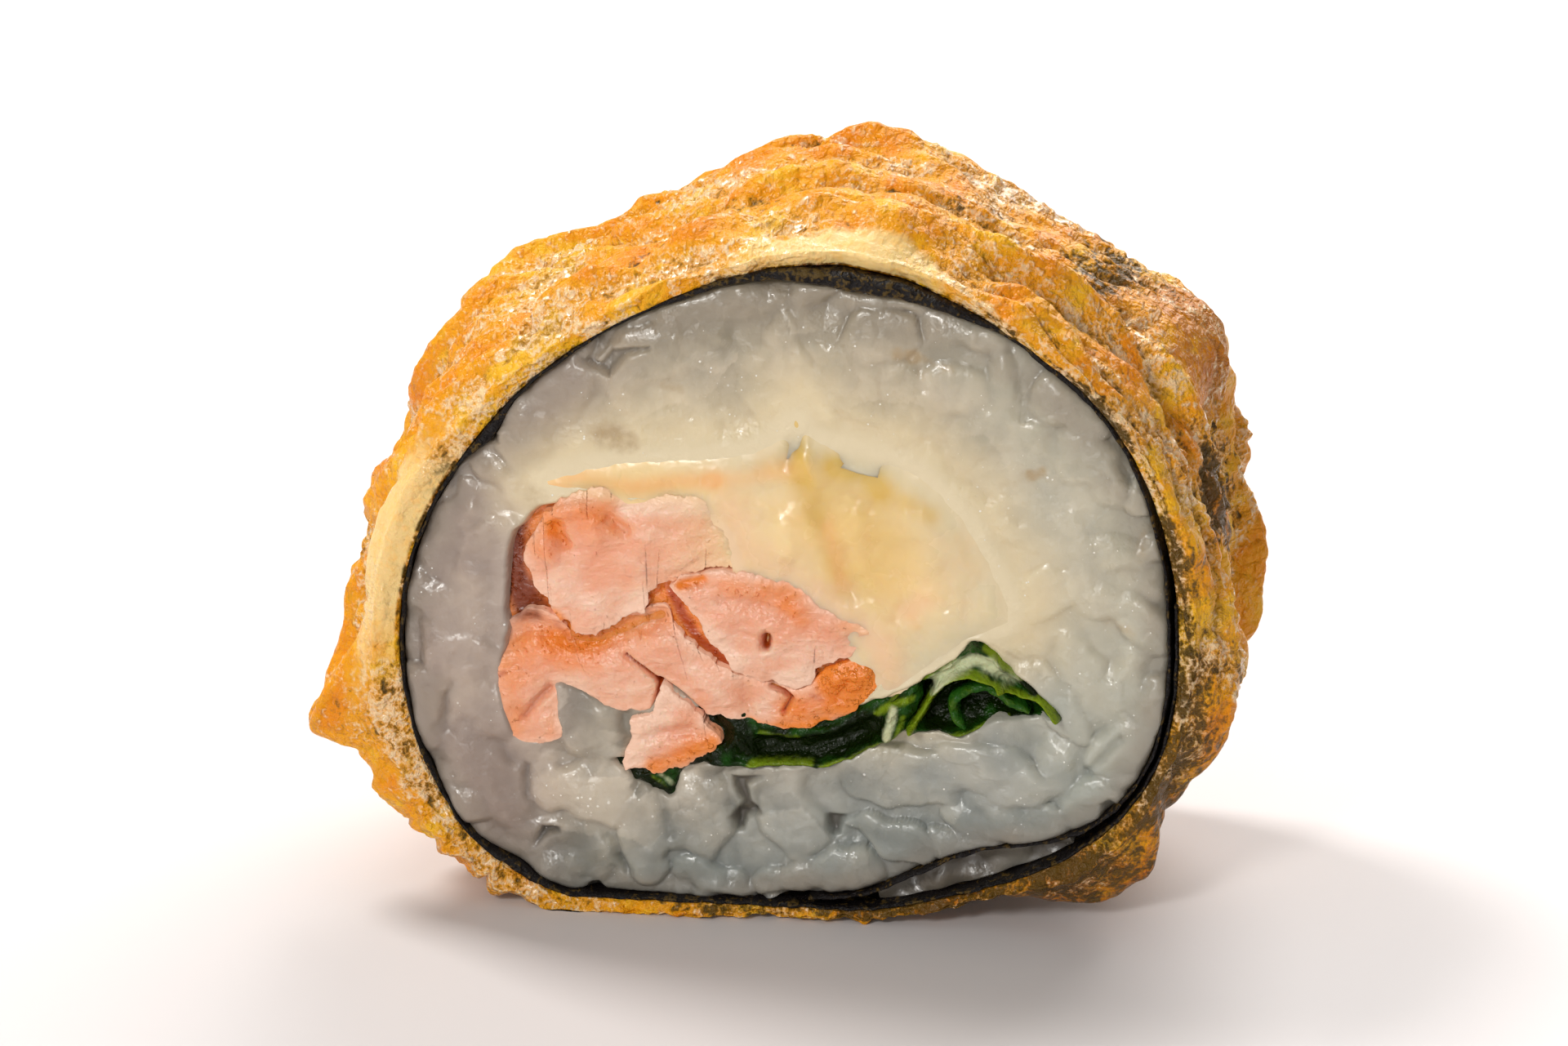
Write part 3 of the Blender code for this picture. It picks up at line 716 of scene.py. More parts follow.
@dataclass(frozen=True)
class SalmonFinish(Finish):
    """Cooked salmon: smooth pink flesh, paler at torn edges with a painted highlight, orange and brown in its
    splits, where the dark red-brown and brown are painted shade.
    """

    pink: Colour = (0.80, 0.36, 0.215)
    # pale: paler flesh, and the painted highlight along the torn edges
    pale: Colour = (0.86, 0.55, 0.40)
    orange: Colour = (0.82, 0.22, 0.02)
    # Painted shade: dark red-brown down the splits, brown in the hollows
    split_shade: Colour = (0.42, 0.06, 0.004)
    brown: Colour = (0.20, 0.03, 0.003)
    peach: Colour = (0.84, 0.57, 0.31)

    def make(self, recipe: Recipe) -> bpy.types.Material:
        """Blends the flesh's tones by mark, with faint fibres, and puts the beads of oil on it."""
        skin, light, split_shade = (recipe.mark(m) for m in ("skin", "light", "split_shade"))
        melt, hollow = recipe.mark("melt"), recipe.mark("hollow")
        fibre = recipe.noise(0.7, 3.0, recipe.stretched(0.6, 1.0, 1.5), 0.4) - 0.5
        fleck = recipe.noise(2.4, 3.0) - 0.5
        cloud = recipe.noise(0.28, 3.0, None, 0.4) - 0.5
        # Paler flesh where the light mark is high; along the torn edges that is painted highlight.
        torn = light + fibre * 1.0 + cloud * 1.1 + fleck * 0.4 + 0.2
        colour = recipe.mix(torn.step(0.0, 1.0), self.pink, self.pale)
        flushed = skin + cloud * -0.9 + fibre * 0.6 + fleck * 0.35 + 0.06
        colour = recipe.mix(flushed.step(0.1, 1.1), colour, self.orange)
        colour = recipe.mix(melt.clamp() * 0.9, colour, self.peach)
        # Painted shade: dark red-brown down the splits, brown in the hollows.
        colour = recipe.mix((split_shade + fleck * 0.2).step(0.2, 0.9), colour, self.split_shade)
        colour = recipe.mix((hollow + fleck * 0.3).step(0.15, 0.95), colour, self.brown)
        oil = (fleck + skin * 0.12).step(0.2, 0.28)
        recipe.bump(fibre * 0.7 + fleck * 0.35 + cloud * 0.8 + oil * 0.2, 0.4)
        fixed = {
            "Subsurface Weight": 0.55,
            "Subsurface Radius": (1.0, 0.4, 0.22),
            "Subsurface Scale": 2.0 * MM,
        }
        varying = {"Base Color": colour, "Roughness": 0.3 - oil * 0.12}
        return recipe.feed(varying, fixed, recipe.mark("border"))


@dataclass(frozen=True)
class CheeseFinish(Finish):
    """Melted cream cheese: pale and glossy, deeper yellow in its hollows, peach beside the salmon."""

    cream: Colour = (0.86, 0.63, 0.31)
    deep: Colour = (0.69, 0.44, 0.085)
    peach: Colour = (0.86, 0.45, 0.16)
    blush: Colour = (0.88, 0.53, 0.32)
    milk: Colour = (0.70, 0.585, 0.375)

    def make(self, recipe: Recipe) -> bpy.types.Material:
        """Blends cream with the hollow's yellow, the salmon's peach and the rice's milky white."""
        hollow, blush, fade, line = (recipe.mark(m) for m in ("hollow", "blush", "fade", "line"))
        cloud = recipe.noise(0.35, 3.0) - 0.5
        colour = recipe.mix((fade + cloud * 0.5).clamp(), self.cream, self.milk)
        colour = recipe.mix((hollow + cloud * 0.3).clamp() * 0.9, colour, self.deep)
        colour = recipe.mix((blush + cloud * 0.3).clamp() * 0.85, colour, self.blush)
        colour = recipe.mix((line + cloud * 0.4).clamp() * 0.85, colour, self.peach)
        recipe.bump(recipe.noise(0.6, 2.0), 0.2)
        fixed = {
            "Subsurface Weight": 0.75,
            "Subsurface Radius": (1.0, 0.75, 0.4),
            "Subsurface Scale": 2.4 * MM,
            "Coat Weight": 0.25,
            "Coat Roughness": 0.06,
        }
        varying = {"Base Color": colour, "Roughness": 0.27 + cloud * 0.1}
        return recipe.feed(varying, fixed, recipe.mark("border"))


@dataclass(frozen=True)
class LeafFinish(Finish):
    """A wilted leaf: near black and wet, with painted shade deepening its folds, yellow-green on its cut
    edges.
    """

    dark: Colour = (0.004, 0.009, 0.0005)
    green: Colour = (0.014, 0.075, 0.006)
    light: Colour = (0.17, 0.25, 0.008)
    pale: Colour = (0.52, 0.55, 0.33)

    def make(self, recipe: Recipe) -> bpy.types.Material:
        """Blends the greens by the marks for painted shade, rims and film, with fine creases in the relief.
        """
        shade, rim, film = (recipe.mark(m) for m in ("shade", "rim", "film"))
        cloud = recipe.noise(0.7, 4.0, None, 0.6) - 0.5
        grit = recipe.noise(2.6, 3.0) - 0.5
        colour = recipe.mix((cloud * 1.2 - shade + 0.5).step(0.1, 0.8), self.dark, self.green)
        colour = recipe.mix((rim + cloud * 0.7 + grit * 0.4).step(0.2, 0.9), colour, self.light)
        colour = recipe.mix((film + cloud * 0.5 + grit * 0.4).step(0.25, 0.9), colour, self.pale)
        recipe.bump(cloud + grit * 0.4, 0.4)
        fixed = {"Specular IOR Level": 0.15, "Subsurface Weight": 0.15, "Subsurface Scale": 0.8 * MM}
        return recipe.feed({"Base Color": colour, "Roughness": 0.22 + grit * 0.2}, fixed)


@dataclass(frozen=True)
class TableFinish(Finish):
    """A plain pale matt table with the faintest grain."""

    pale: Colour = (0.69, 0.655, 0.65)
    shade: Colour = (0.67, 0.635, 0.63)

    def make(self, recipe: Recipe) -> bpy.types.Material:
        """Two close whites mixed by a slow noise."""
        colour = recipe.mix(recipe.noise(0.02, 2.0), self.pale, self.shade)
        return recipe.feed({"Base Color": colour}, {"Roughness": 0.55})


# The pieces


def loop_of(upper: Array, lower: Array) -> Array:
    """The closed line along an upper edge and back along a lower one."""
    return np.vstack([upper, lower[::-1]])


def in_box(x: Array, z: Array, line: Array, margin: float) -> Array:
    """Which points lie in the box round a line, widened by a margin on all sides."""
    low, high = line.min(axis=0) - margin, line.max(axis=0) + margin
    return (x > low[0]) & (x < high[0]) & (z > low[1]) & (z < high[1])


def painted(x: Array, z: Array, strokes: Rows) -> Array:
    """The sum of soft strokes at each point: strength times a bell of the distance to the line.

    Args:
        x: where to read. z: where to read.
        strokes: each stroke's width and strength, then x and z of every point on its line.

    Returns:
        The sum, of the shape of x.
    """
    total = np.zeros(np.shape(x))
    for width, strength, *numbers in strokes:
        line = np.reshape(numbers, (-1, 2))
        line = np.vstack([line, line[::-1]])
        near = in_box(x, z, line, 3.0 * width)
        total[near] += strength * bell(edge_distance(x[near], z[near], line), 0.0, width)
    return total


def within(x: Array, z: Array, loop: Row, edge: float) -> Array:
    """1 inside a closed line and 0 outside, eased over the edge's width inwards."""
    line = np.reshape(loop, (-1, 2))
    near = in_box(x, z, line, 0.0)
    inside = np.zeros(np.shape(x))
    inside[near] = smooth(0.0, -edge, edge_distance(x[near], z[near], line))
    return inside


@dataclass
class Crust:
    """The batter shell: a ridged tube with a pale cut rim, lifted off the seaweed at its crown."""

    place: Place
    # Thickness at even turns from the right-hand side, the crown's turn, and how far ridges wander
    thickness: Row = (1.5, 1.7, 1.6, 1.7, 1.7, 2.6, 2.6, 2.0, 1.5, 0.8, 0.8, 1.1)
    crown: float = 0.25
    wander: float = 1.5
    # The ridges round the roll: place along it, height, spread, and phases of the wander and the swell
    ridges: Rows = (
        (-10.4, 0.8, 1.4, 0.10, 0.35),
        (-5.0, 1.3, 1.8, 0.42, 0.05),
        (1.0, 0.9, 1.7, 0.77, 0.60),
        (7.0, 1.1, 2.0, 0.23, 0.20),
        (11.6, 0.8, 1.3, 0.55, 0.85),
    )
    # Turn, place along, height, spread round, spread along, and the share of it that hangs down
    bulges: Rows = (
        (0.548, -9.6, 4.6, 2.2, 3.4, 0.4),
        (0.585, -9.8, 1.6, 3.0, 4.0, 0.2),
        (0.098, 4.0, 4.2, 4.2, 4.6, 0.25),
        (0.170, 10.0, -1.2, 6.0, 6.0, 0.0),
        (0.250, 6.0, -0.8, 6.0, 8.0, 0.0),
        (0.345, 6.0, -1.2, 6.0, 8.0, 0.0),
        (0.417, 3.0, 1.9, 5.5, 8.0, 0.0),
        (0.985, -8.6, 2.2, 4.5, 3.2, 0.1),
        (0.889, -9.0, 2.8, 4.2, 4.0, 0.1),
    )
    # Where the seaweed shows through, and where olive is painted shade at the lower right
    # and along the right-hand side: turn, place along, width round, length along, strength
    bare_and_shaded: Rows = (
        (0.128, 5.0, 2.0, 4.5, 1.0),
        (0.145, 2.0, 2.0, 5.0, 1.1),
        (0.045, -3.0, 3.2, 6.0, 1.4),
        (0.025, 3.0, 4.0, 5.0, 1.2),
        (0.930, -9.0, 6.0, 7.0, 1.3),
        (0.860, -10.0, 5.0, 6.0, 1.2),
        (0.020, -12.6, 9.0, 1.6, 0.9),
        (0.285, -2.0, 3.0, 1.4, 0.6),
        (0.315, -6.5, 3.0, 0.9, 0.6),
        (0.200, 1.0, 2.4, 1.2, 0.6),
        (0.370, 3.0, 3.0, 1.5, 0.6),
    )
    # Where the batter set sleek and golden, without foam, listed in the same way
    sleek: Rows = (
        (0.250, -3.5, 8.0, 4.5, 0.95),
        (0.330, -6.0, 4.0, 3.0, 0.6),
        (0.435, -7.0, 4.0, 3.5, 0.8),
        (0.190, -9.0, 3.5, 2.0, 0.5),
        (0.545, -10.0, 3.0, 3.0, 0.8),
    )
    # Where it has browned, listed in the same way: the point at the left and the skirt at the right
    browned: Rows = ((0.548, -9.6, 2.5, 3.0, 0.5), (0.889, -9.0, 5.0, 5.0, 0.7))
    # Single places, each its turn and its spread in turns, then the blob's turn, place and spreads
    lifted: Row = (0.235, 0.055)
    crown_rim: Row = (0.235, 0.048)
    left_rim: Row = (0.48, 0.05)
    # Painted shade: olive on the cut rim beside the seaweed at the right-hand side
    right_rim_shade: Row = (0.01, 0.06)
    left_ruffle: Row = (0.61, 0.05)
    belly_ruffle: Row = (0.77, 0.13)
    belly_murk: Row = (0.79, 0.11)
    belly_brown: Row = (0.76, 0.12)
    swelling: Row = (0.098, 3.5, 5.0, 5.5)
    # The small lumps: how many, and the ranges that their turns, places and sizes are drawn from
    lump_count: int = 26
    lump_seed: int = 11
    lump_turns: Row = (-0.18, 0.68)
    lump_shares: Row = (-0.44, 0.44)
    lump_heights: Row = (0.35, 0.95)
    lump_spreads: Row = (1.5, 2.9)
    # The gap to the seaweed and the table, the least thickness, and the grid's points
    clearance: float = 0.02
    least: float = 0.3
    around: int = 720
    outer_rows: int = 98
    rim_rows: int = 16
    inner_rows: int = 6

    def lumps(self) -> Array:
        """Turn, place along, height and spread of each swelling of the batter."""
        draw = np.random.default_rng(self.lump_seed)
        turn = draw.uniform(*self.lump_turns, self.lump_count)
        along = draw.uniform(*self.lump_shares, self.lump_count) * SLICE
        height = draw.uniform(*self.lump_heights, self.lump_count)
        spread = draw.uniform(*self.lump_spreads, self.lump_count)
        return np.column_stack([turn, along, height, spread])

    def fade(self, turn: Array) -> Array:
        """1 over the top of the roll, easing to 0 under its belly."""
        return smooth(0.06, 0.35, 0.5 + 0.5 * np.cos(2.0 * np.pi * (turn - self.crown)))

    def body(self, turn: Array, along: Array) -> tuple[Array, Array]:
        """Thickness and droop: the even crust, plus wandering ridges, lumps and named bulges.

        Args:
            turn: places round the roll. along: places along it.

        Returns:
            The thickness and how far it hangs down, in millimetres.
        """
        thick = even_series(self.thickness, turn)
        fade = self.fade(turn)
        for middle, height, spread, wander, swell in self.ridges:
            path = middle + self.wander * np.sin(2.0 * np.pi * (turn + wander))
            path = path + 0.5 * self.wander * np.sin(2.0 * np.pi * (3.0 * turn + swell))
            share = 0.6 + 0.4 * np.sin(2.0 * np.pi * (2.0 * turn + swell))
            thick = thick + fade * height * share * bell(along, path, spread)
        thick = thick + self.ruffles(turn) * smooth(4.0, 0.0, along + 0.5 * SLICE)
        for middle, seat, height, spread in self.lumps():
            round_it = near_place(turn, middle, 1.5 * spread)
            thick = thick + fade * height * round_it * bell(along, seat, spread)
        droop = 0.0 * turn
        for middle, seat, height, wide, deep, fall in self.bulges:
            bulge = height * near_place(turn, middle, wide) * bell(along, seat, deep)
            thick = thick + bulge
            droop = droop + fall * bulge
        return thick, droop

    def slant(self, turn: Array, along: Array) -> Array:
        """Places along the roll as the batter ran: the strands lean and wander."""
        leaning = 3.6 * np.sin(2.0 * np.pi * (turn + 0.08))
        return along + leaning + 2.2 * drift(turn * 9.0, along / 9.0, 30, 2, 9)

    def strand(self, turn: Array, along: Array) -> Array:
        """The pillows the batter set in, 0 in their valleys: the size of a swirl."""
        slant = self.slant(turn, along)
        bent = slant / 3.4 + 0.6 * swirl(turn * 12.0, slant / 7.0, 31, 12)
        return np.abs(swirl(turn * 16.0, bent, 32, 16))

    def rough(self, turn: Array, along: Array) -> Array:
        """Where the batter is blistered and pale, 1, and where it set smooth and golden, 0."""
        slant = self.slant(turn, along)
        fine, broad = drift(turn * 32.0, slant / 2.2, 37, 3, 32), drift(turn * 12.0, slant / 8.0, 39, 2, 12)
        patch = 0.3 * fine + 0.22 * broad
        sleek = self.patches(self.sleek, turn, along)
        return smooth(0.44, 0.12, self.strand(turn, along) + patch) * (1.0 - sleek)

    def puffs(self, turn: Array, along: Array) -> Array:
        """Fine relief: pillows round the roll, with blisters and crumbs where it is rough.

        The size of a swirl is rounded on top and sharp in its valleys, as fried batter is.
        """
        slant = self.slant(turn, along)
        mean = 0.28
        lump = np.abs(swirl(turn * 34.0, slant / 2.0, 33, 34)) - mean
        blister = np.abs(swirl(turn * 80.0, slant / 1.2, 38, 80)) - mean
        crumb = np.abs(swirl(turn * 180.0, slant / 0.7, 34, 180)) - mean
        rough = self.rough(turn, along)
        fine = 0.6 * lump + (0.2 + 0.3 * rough) * blister + (0.08 + 0.3 * rough) * crumb
        return 1.6 * (self.strand(turn, along) - 0.3) + fine

    def ruffles(self, turn: Array) -> Array:
        """The ragged, puffed outer edge of the batter at the lower left and under the belly."""
        left, belly = near_turn(turn, *self.left_ruffle), near_turn(turn, *self.belly_ruffle)
        size = np.abs(drift(turn * 64.0, 0.0 * turn + 2.5, 47, 3, 64))
        return (2.4 * left + 0.9 * belly) * size

    def front(self, turn: Array) -> Array:
        """Where the front rim lies along the roll: ragged, and furthest back at the crown."""
        lifted = 0.7 * near_turn(turn, *self.lifted)
        waves = 0.16 * np.sin(2.0 * np.pi * (5.0 * turn + 0.2)) + 0.1 * np.sin(2.0 * np.pi * 11.0 * turn)
        return -0.5 * SLICE + 0.3 + lifted + waves + 0.25 * drift(turn * 60.0, 0.0 * turn, 35, 3, 60)

    def back(self, turn: Array) -> Array:
        """Where the back rim lies along the roll."""
        waves = 0.35 * np.sin(2.0 * np.pi * (4.0 * turn + 0.7)) + 0.15 * np.sin(2.0 * np.pi * 9.0 * turn)
        return 0.5 * SLICE - 0.5 - waves - 0.2 * drift(turn * 60.0, 0.0 * turn + 7.5, 36, 3, 60)

    def lift(self, turn: Array) -> Array:
        """The crust's clearance from the seaweed, most where it has lifted at the crown."""
        return self.clearance + 0.25 * near_turn(turn, *self.lifted)

    def build(self) -> bpy.types.Object:
        """Makes the shell as one closed grid: inner wall, back rim, outer surface and front rim.

        Returns:
            The piece.
        """
        inner = np.linspace(0.0, 1.0, self.inner_rows)
        rim = np.linspace(0.0, 1.0, self.rim_rows)[1:-1]
        outer = np.linspace(1.0, 0.0, self.outer_rows)
        down = np.concatenate([inner, np.ones_like(rim), outer, np.zeros_like(rim)])
        through = np.concatenate([0.0 * inner, rim, np.ones_like(outer), rim[::-1]])
        turn, down = np.meshgrid(np.arange(self.around) / self.around, down)
        through = through[:, None] + 0.0 * turn
        front, back = self.front(turn), self.back(turn)
        end = np.minimum(down, 1.0 - down) * (back - front)
        along = front + (back - front) * down
        thick, droop = self.body(turn, along)
        crown, left = near_turn(turn, *self.crown_rim), near_turn(turn, *self.left_rim)
        right = near_turn(turn, *self.right_rim_shade)
        pale = np.maximum(crown, left)
        face = np.where(down == 0.0, 1.0, np.where(down == 1.0, -1.0, 0.0))
        course = along - 2.0 * face * (1.0 - through)
        even = 0.55 - 0.48 * pale
        fine = self.puffs(turn, course) * (even + (1.0 - even) * smooth(0.0, 1.0 + 2.0 * pale, end))
        fine = fine * (0.5 + 0.5 * self.fade(turn)) * (1.0 - 0.6 * self.blob(turn, along))
        bevel = 1.0 - 0.4 * np.exp(-end / (0.8 + 0.5 * crown + 1.2 * left))
        skin = thick * bevel + fine * np.clip(thick / 1.7, 0.4, 1.3)
        skin = np.maximum(skin, self.least)
        rounded = np.sin(0.5 * np.pi * through) ** 0.8
        plane = OUTLINE.moved(turn, self.lift(turn) + skin * rounded)
        ragged = 0.3 * (1.0 - 0.6 * pale) * drift(turn * 110.0, 2.2 * through, 49, 3, 110)
        along = along - face * (0.35 * np.clip(thick / 2.0, 0.3, 1.0) + ragged) * np.sin(np.pi * through)
        height = np.maximum(plane[..., 1] - droop * through, self.place.floor + self.clearance)
        points = np.stack([plane[..., 0], along, height], axis=-1)
        rows = len(turn)
        fade = self.fade(turn)
        cut = smooth(0.6 + 2.6 * pale, 0.2 + 1.2 * pale, end) * (0.2 + 0.8 * pale) * (through > 0.02) * fade
        # Painted shade: olive on the cut rims beside the seaweed, more at the left and right, none at the
        # crown.
        rim = (0.35 + 0.45 * left + 0.5 * right) * (1.0 - crown)
        rim = rim * np.exp(-end / 0.5) * smooth(0.8, 0.1, through)
        marks = {
            "crest": fine,
            "rough": self.rough(turn, course) + 0.5 * smooth(1.0, 0.6, through) * (1.0 - pale) * fade,
            # thin: thin batter over the seaweed, plus the painted shade of the rims and of some patches
            "thin": self.seaweed_and_shade(turn, along) + smooth(0.9, 0.3, skin) + rim,
            "burnt": self.browning(turn, along),
            "cut": np.clip(cut, 0.0, 1.0),
        }
        shape = (points.reshape(-1, 3), quads(rows, self.around, True, True).tolist())
        finish = BatterFinish("fried batter")
        return new_piece("crust", shape, marks, finish, self.place, "batter_crust")

    def blob(self, turn: Array, along: Array) -> Array:
        """1 on the smooth round swelling at the upper right and 0 away from it."""
        middle, seat, wide, deep = self.swelling
        return near_place(turn, middle, wide) * bell(along, seat, deep)

    def patches(self, listed: Sequence[Sequence[float]], turn: Array, along: Array) -> Array:
        """The sum of listed patches, each its strength times a bell round the roll and one along it.

        Args:
            listed: the patches. turn: places round the roll. along: places along it.

        Returns:
            The sum at each place.
        """
        return sum(
            strength * near_place(turn, middle, wide) * bell(along, seat, deep)
            for middle, seat, wide, deep, strength in listed
        )

    def seaweed_and_shade(self, turn: Array, along: Array) -> Array:
        """How far the batter turns olive: where the seaweed shows through, as painted shade at the lower
        right and right-hand side, and under the belly.
        """
        return self.patches(self.bare_and_shaded, turn, along) + 0.4 * near_turn(turn, *self.belly_murk)

    def browning(self, turn: Array, along: Array) -> Array:
        """How deeply the batter has browned: most on the blob at the right and under the belly."""
        blob = 0.95 * self.blob(turn, along)
        return blob + self.patches(self.browned, turn, along) + 0.3 * near_turn(turn, *self.belly_brown)


@dataclass
class Seaweed:
    """The sheet: one turn round the rice and on under its own outer end, crinkled, with a torn edge."""

    place: Place
    start: float = -0.23
    end: float = 0.02
    ease_out: float = 0.12
    slack: float = 2.1
    slack_middle: float = -0.155
    slack_spread: float = 0.045
    thick: float = 0.22
    ply: float = 0.45
    # Where the sheet is swollen or folded double: turn, extra thickness, spread
    swellings: Rows = (
        (0.228, 1.0, 0.042),
        (0.3, 0.15, 0.03),
        (0.415, 0.55, 0.012),
        (0.641, 0.45, 0.012),
        (0.135, 0.2, 0.02),
    )
    # Where its front edge stands proud, where it flares and where it is worn brown: turn, spread
    proud: Row = (0.235, 0.05)
    flared: Row = (0.245, 0.06)
    worn: Row = (0.235, 0.06)
    around: int = 900
    near_rows: int = 13
    far_rows: int = 5

    def depth(self, turn: Array) -> Array:
        """How far the sheet lies inside the outline, at a turn counted on past the first."""
        under = self.ply + self.slack * bell(turn, self.slack_middle, self.slack_spread)
        return np.where(turn < 0.5, under * (1.0 - smooth(self.end, self.end + self.ease_out, turn)), 0.0)

    def gauge(self, turn: Array) -> Array:
        """How thick the sheet is at each turn."""
        swollen = sum(extra * near_turn(turn, middle, spread) for middle, extra, spread in self.swellings)
        return self.thick + 0.1 * drift(turn * 40.0, 0.0 * turn, 45, 3, 40) + swollen

    def inside(self, turn: Array) -> Array:
        """How far the innermost layer's inner face lies inside the outline."""
        wrapped = np.mod(turn, 1.0)
        lead_in = 0.02
        start = self.start + 1.0
        second = smooth(start - lead_in, start - 0.3 * lead_in, wrapped)
        under = np.where(wrapped > 0.5, second * self.depth(wrapped - 1.0), self.depth(wrapped))
        return under + self.gauge(wrapped)

    def build(self) -> bpy.types.Object:
        """Makes the sheet as one closed strip: outer face from back to front, then inner face back.

        Returns:
            The piece.
        """
        run = np.linspace(self.start, 1.0 + self.end, self.around)
        near = np.linspace(0.0, 0.14, self.near_rows)
        share = np.concatenate([near, np.linspace(0.14, 1.0, self.far_rows)[1:]])
        turn, down = np.meshgrid(run, np.concatenate([share[::-1], share]))
        outer = (np.arange(len(down)) < len(share))[:, None]
        torn = 0.22 * drift(run * 130.0, 0.0 * run + 3.3, 41, 3, 512) + 0.08 * np.sin(2.0 * np.pi * 6.0 * run)
        front = -0.5 * SLICE + 0.25 - 0.3 * near_turn(run, *self.proud) - torn
        back = 0.5 * SLICE + 0.2 + 0.2 * drift(run * 130.0, 0.0 * run + 9.3, 42, 3, 512)
        along = front + (back - front) * down
        crinkle = 0.09 * drift(turn * 70.0, along * 0.9, 43, 4, 512)
        crinkle = crinkle + 0.06 * swirl(turn * 24.0, along * 0.25, 44, 512)
        flare = 0.2 * smooth(3.0, 0.0, along + 0.5 * SLICE) * near_turn(turn, *self.flared)
        thin = 1.0 - 0.4 * smooth(0.3, 0.0, along - front)
        inwards = np.where(outer, 0.5 - 0.5 * thin, 0.5 + 0.5 * thin) * self.gauge(turn)
        outwards = -self.depth(turn) + crinkle + flare - inwards
        plane = OUTLINE.moved(turn, outwards)
        points = np.stack([plane[..., 0], along, plane[..., 1]], axis=-1).reshape(-1, 3)
        shape = (points, strip_faces(len(down), self.around))
        finish = SeaweedFinish("roasted seaweed")
        marks = {"fold": near_turn(turn, *self.worn)}
        return new_piece("seaweed", shape, marks, finish, self.place, "nori_sheet")


@dataclass(frozen=True)
class Part:
    """One filling. Its cut is ruled between two edges that both run from left to right.

    proud is how far the cut stands out of the slice's own. dents are strokes that shape it, and
    tints the strokes of each mark that its finish reads.
    """

    name: str
    node: str
    upper: Row
    lower: Row
    proud: float
    across: int
    down: int
    ragged: float
    seed: int
    dents: Rows = ()
    tints: dict[str, Rows] = field(default_factory=dict)

    def lines(self) -> tuple[Array, Array]:
        """Both edges as smooth lines, torn by a small wander and by notches that die out at their ends."""
        found = []
        for index, line in enumerate((self.upper, self.lower)):
            curve = curve_through(line, self.across)
            run = np.linspace(0.0, 1.0, self.across)
            fade = smooth(0.0, 0.06, np.minimum(run, 1.0 - run))
            steps = run * np.linalg.norm(np.diff(curve, axis=0), axis=1).sum()
            wander = [drift(steps * 0.9, 0.0 * run + 1.7 * i, self.seed + 50 + index, 4) for i in (0, 1)]
            torn = steps / 1.7 + 1.5 * swirl(steps * 0.3, 0.0 * run + 8.1, self.seed + 70 + index)
            notch = (torn - np.floor(torn) - 0.5) * (1.0 - 2.0 * index)
            shift = np.column_stack([wander[0], wander[1] + 0.45 * notch])
            found.append(curve + self.ragged * fade[:, None] * shift)
        return found[0], found[1]

    def grid(self) -> tuple[Array, Array, Array]:
        """Points x and z of the cut, and their distance in from its edge."""
        upper, lower = self.lines()
        share = 0.5 - 0.5 * np.cos(np.pi * np.linspace(0.0, 1.0, self.down))
        share = 0.5 * share + 0.5 * np.linspace(0.0, 1.0, self.down)
        plane = upper[None] + (lower - upper)[None] * share[:, None, None]
        x, z = plane[..., 0], plane[..., 1]
        return x, z, np.maximum(-edge_distance(x, z, loop_of(upper, lower)), 0.0)

    def loop(self) -> Array:
        """The cut's closed outline."""
        return loop_of(*self.lines())

    def tint(self, mark: str, x: Array, z: Array) -> Array:
        """What this part's strokes for one mark come to."""
        return painted(x, z, self.tints.get(mark, ()))


Relief = Callable[[Part, Array, Array, Array, Side], Array]
Marks = Callable[[Part, Array, Array, Array], dict[str, Array]]


def filling(part: Part, place: Place, relief: Relief, marks: Marks, finish: Finish) -> bpy.types.Object:
    """Makes a filling that runs through the slice, with both its cuts in relief.

    Args:
        part: which filling. place: the roll's axis.
        relief: height of a cut over x, z, distance in from the edge and side.
        marks: numbers for its finish over x, z and distance in. finish: how it looks.

    Returns:
        The piece.
    """
    x, z, inwards = part.grid()
    cuts = []
    for side in Side:
        out = 0.5 * SLICE + part.proud + relief(part, x, z, inwards, side) + painted(x, z, part.dents)
        cuts.append(np.stack([x, side.value * out, z], axis=-1))
    single = marks(part, x, z, inwards)
    found = {mark: np.concatenate([np.ravel(values)] * 2) for mark, values in single.items()}
    return new_piece(part.name, between_cuts(*cuts), found, finish, place, part.node)


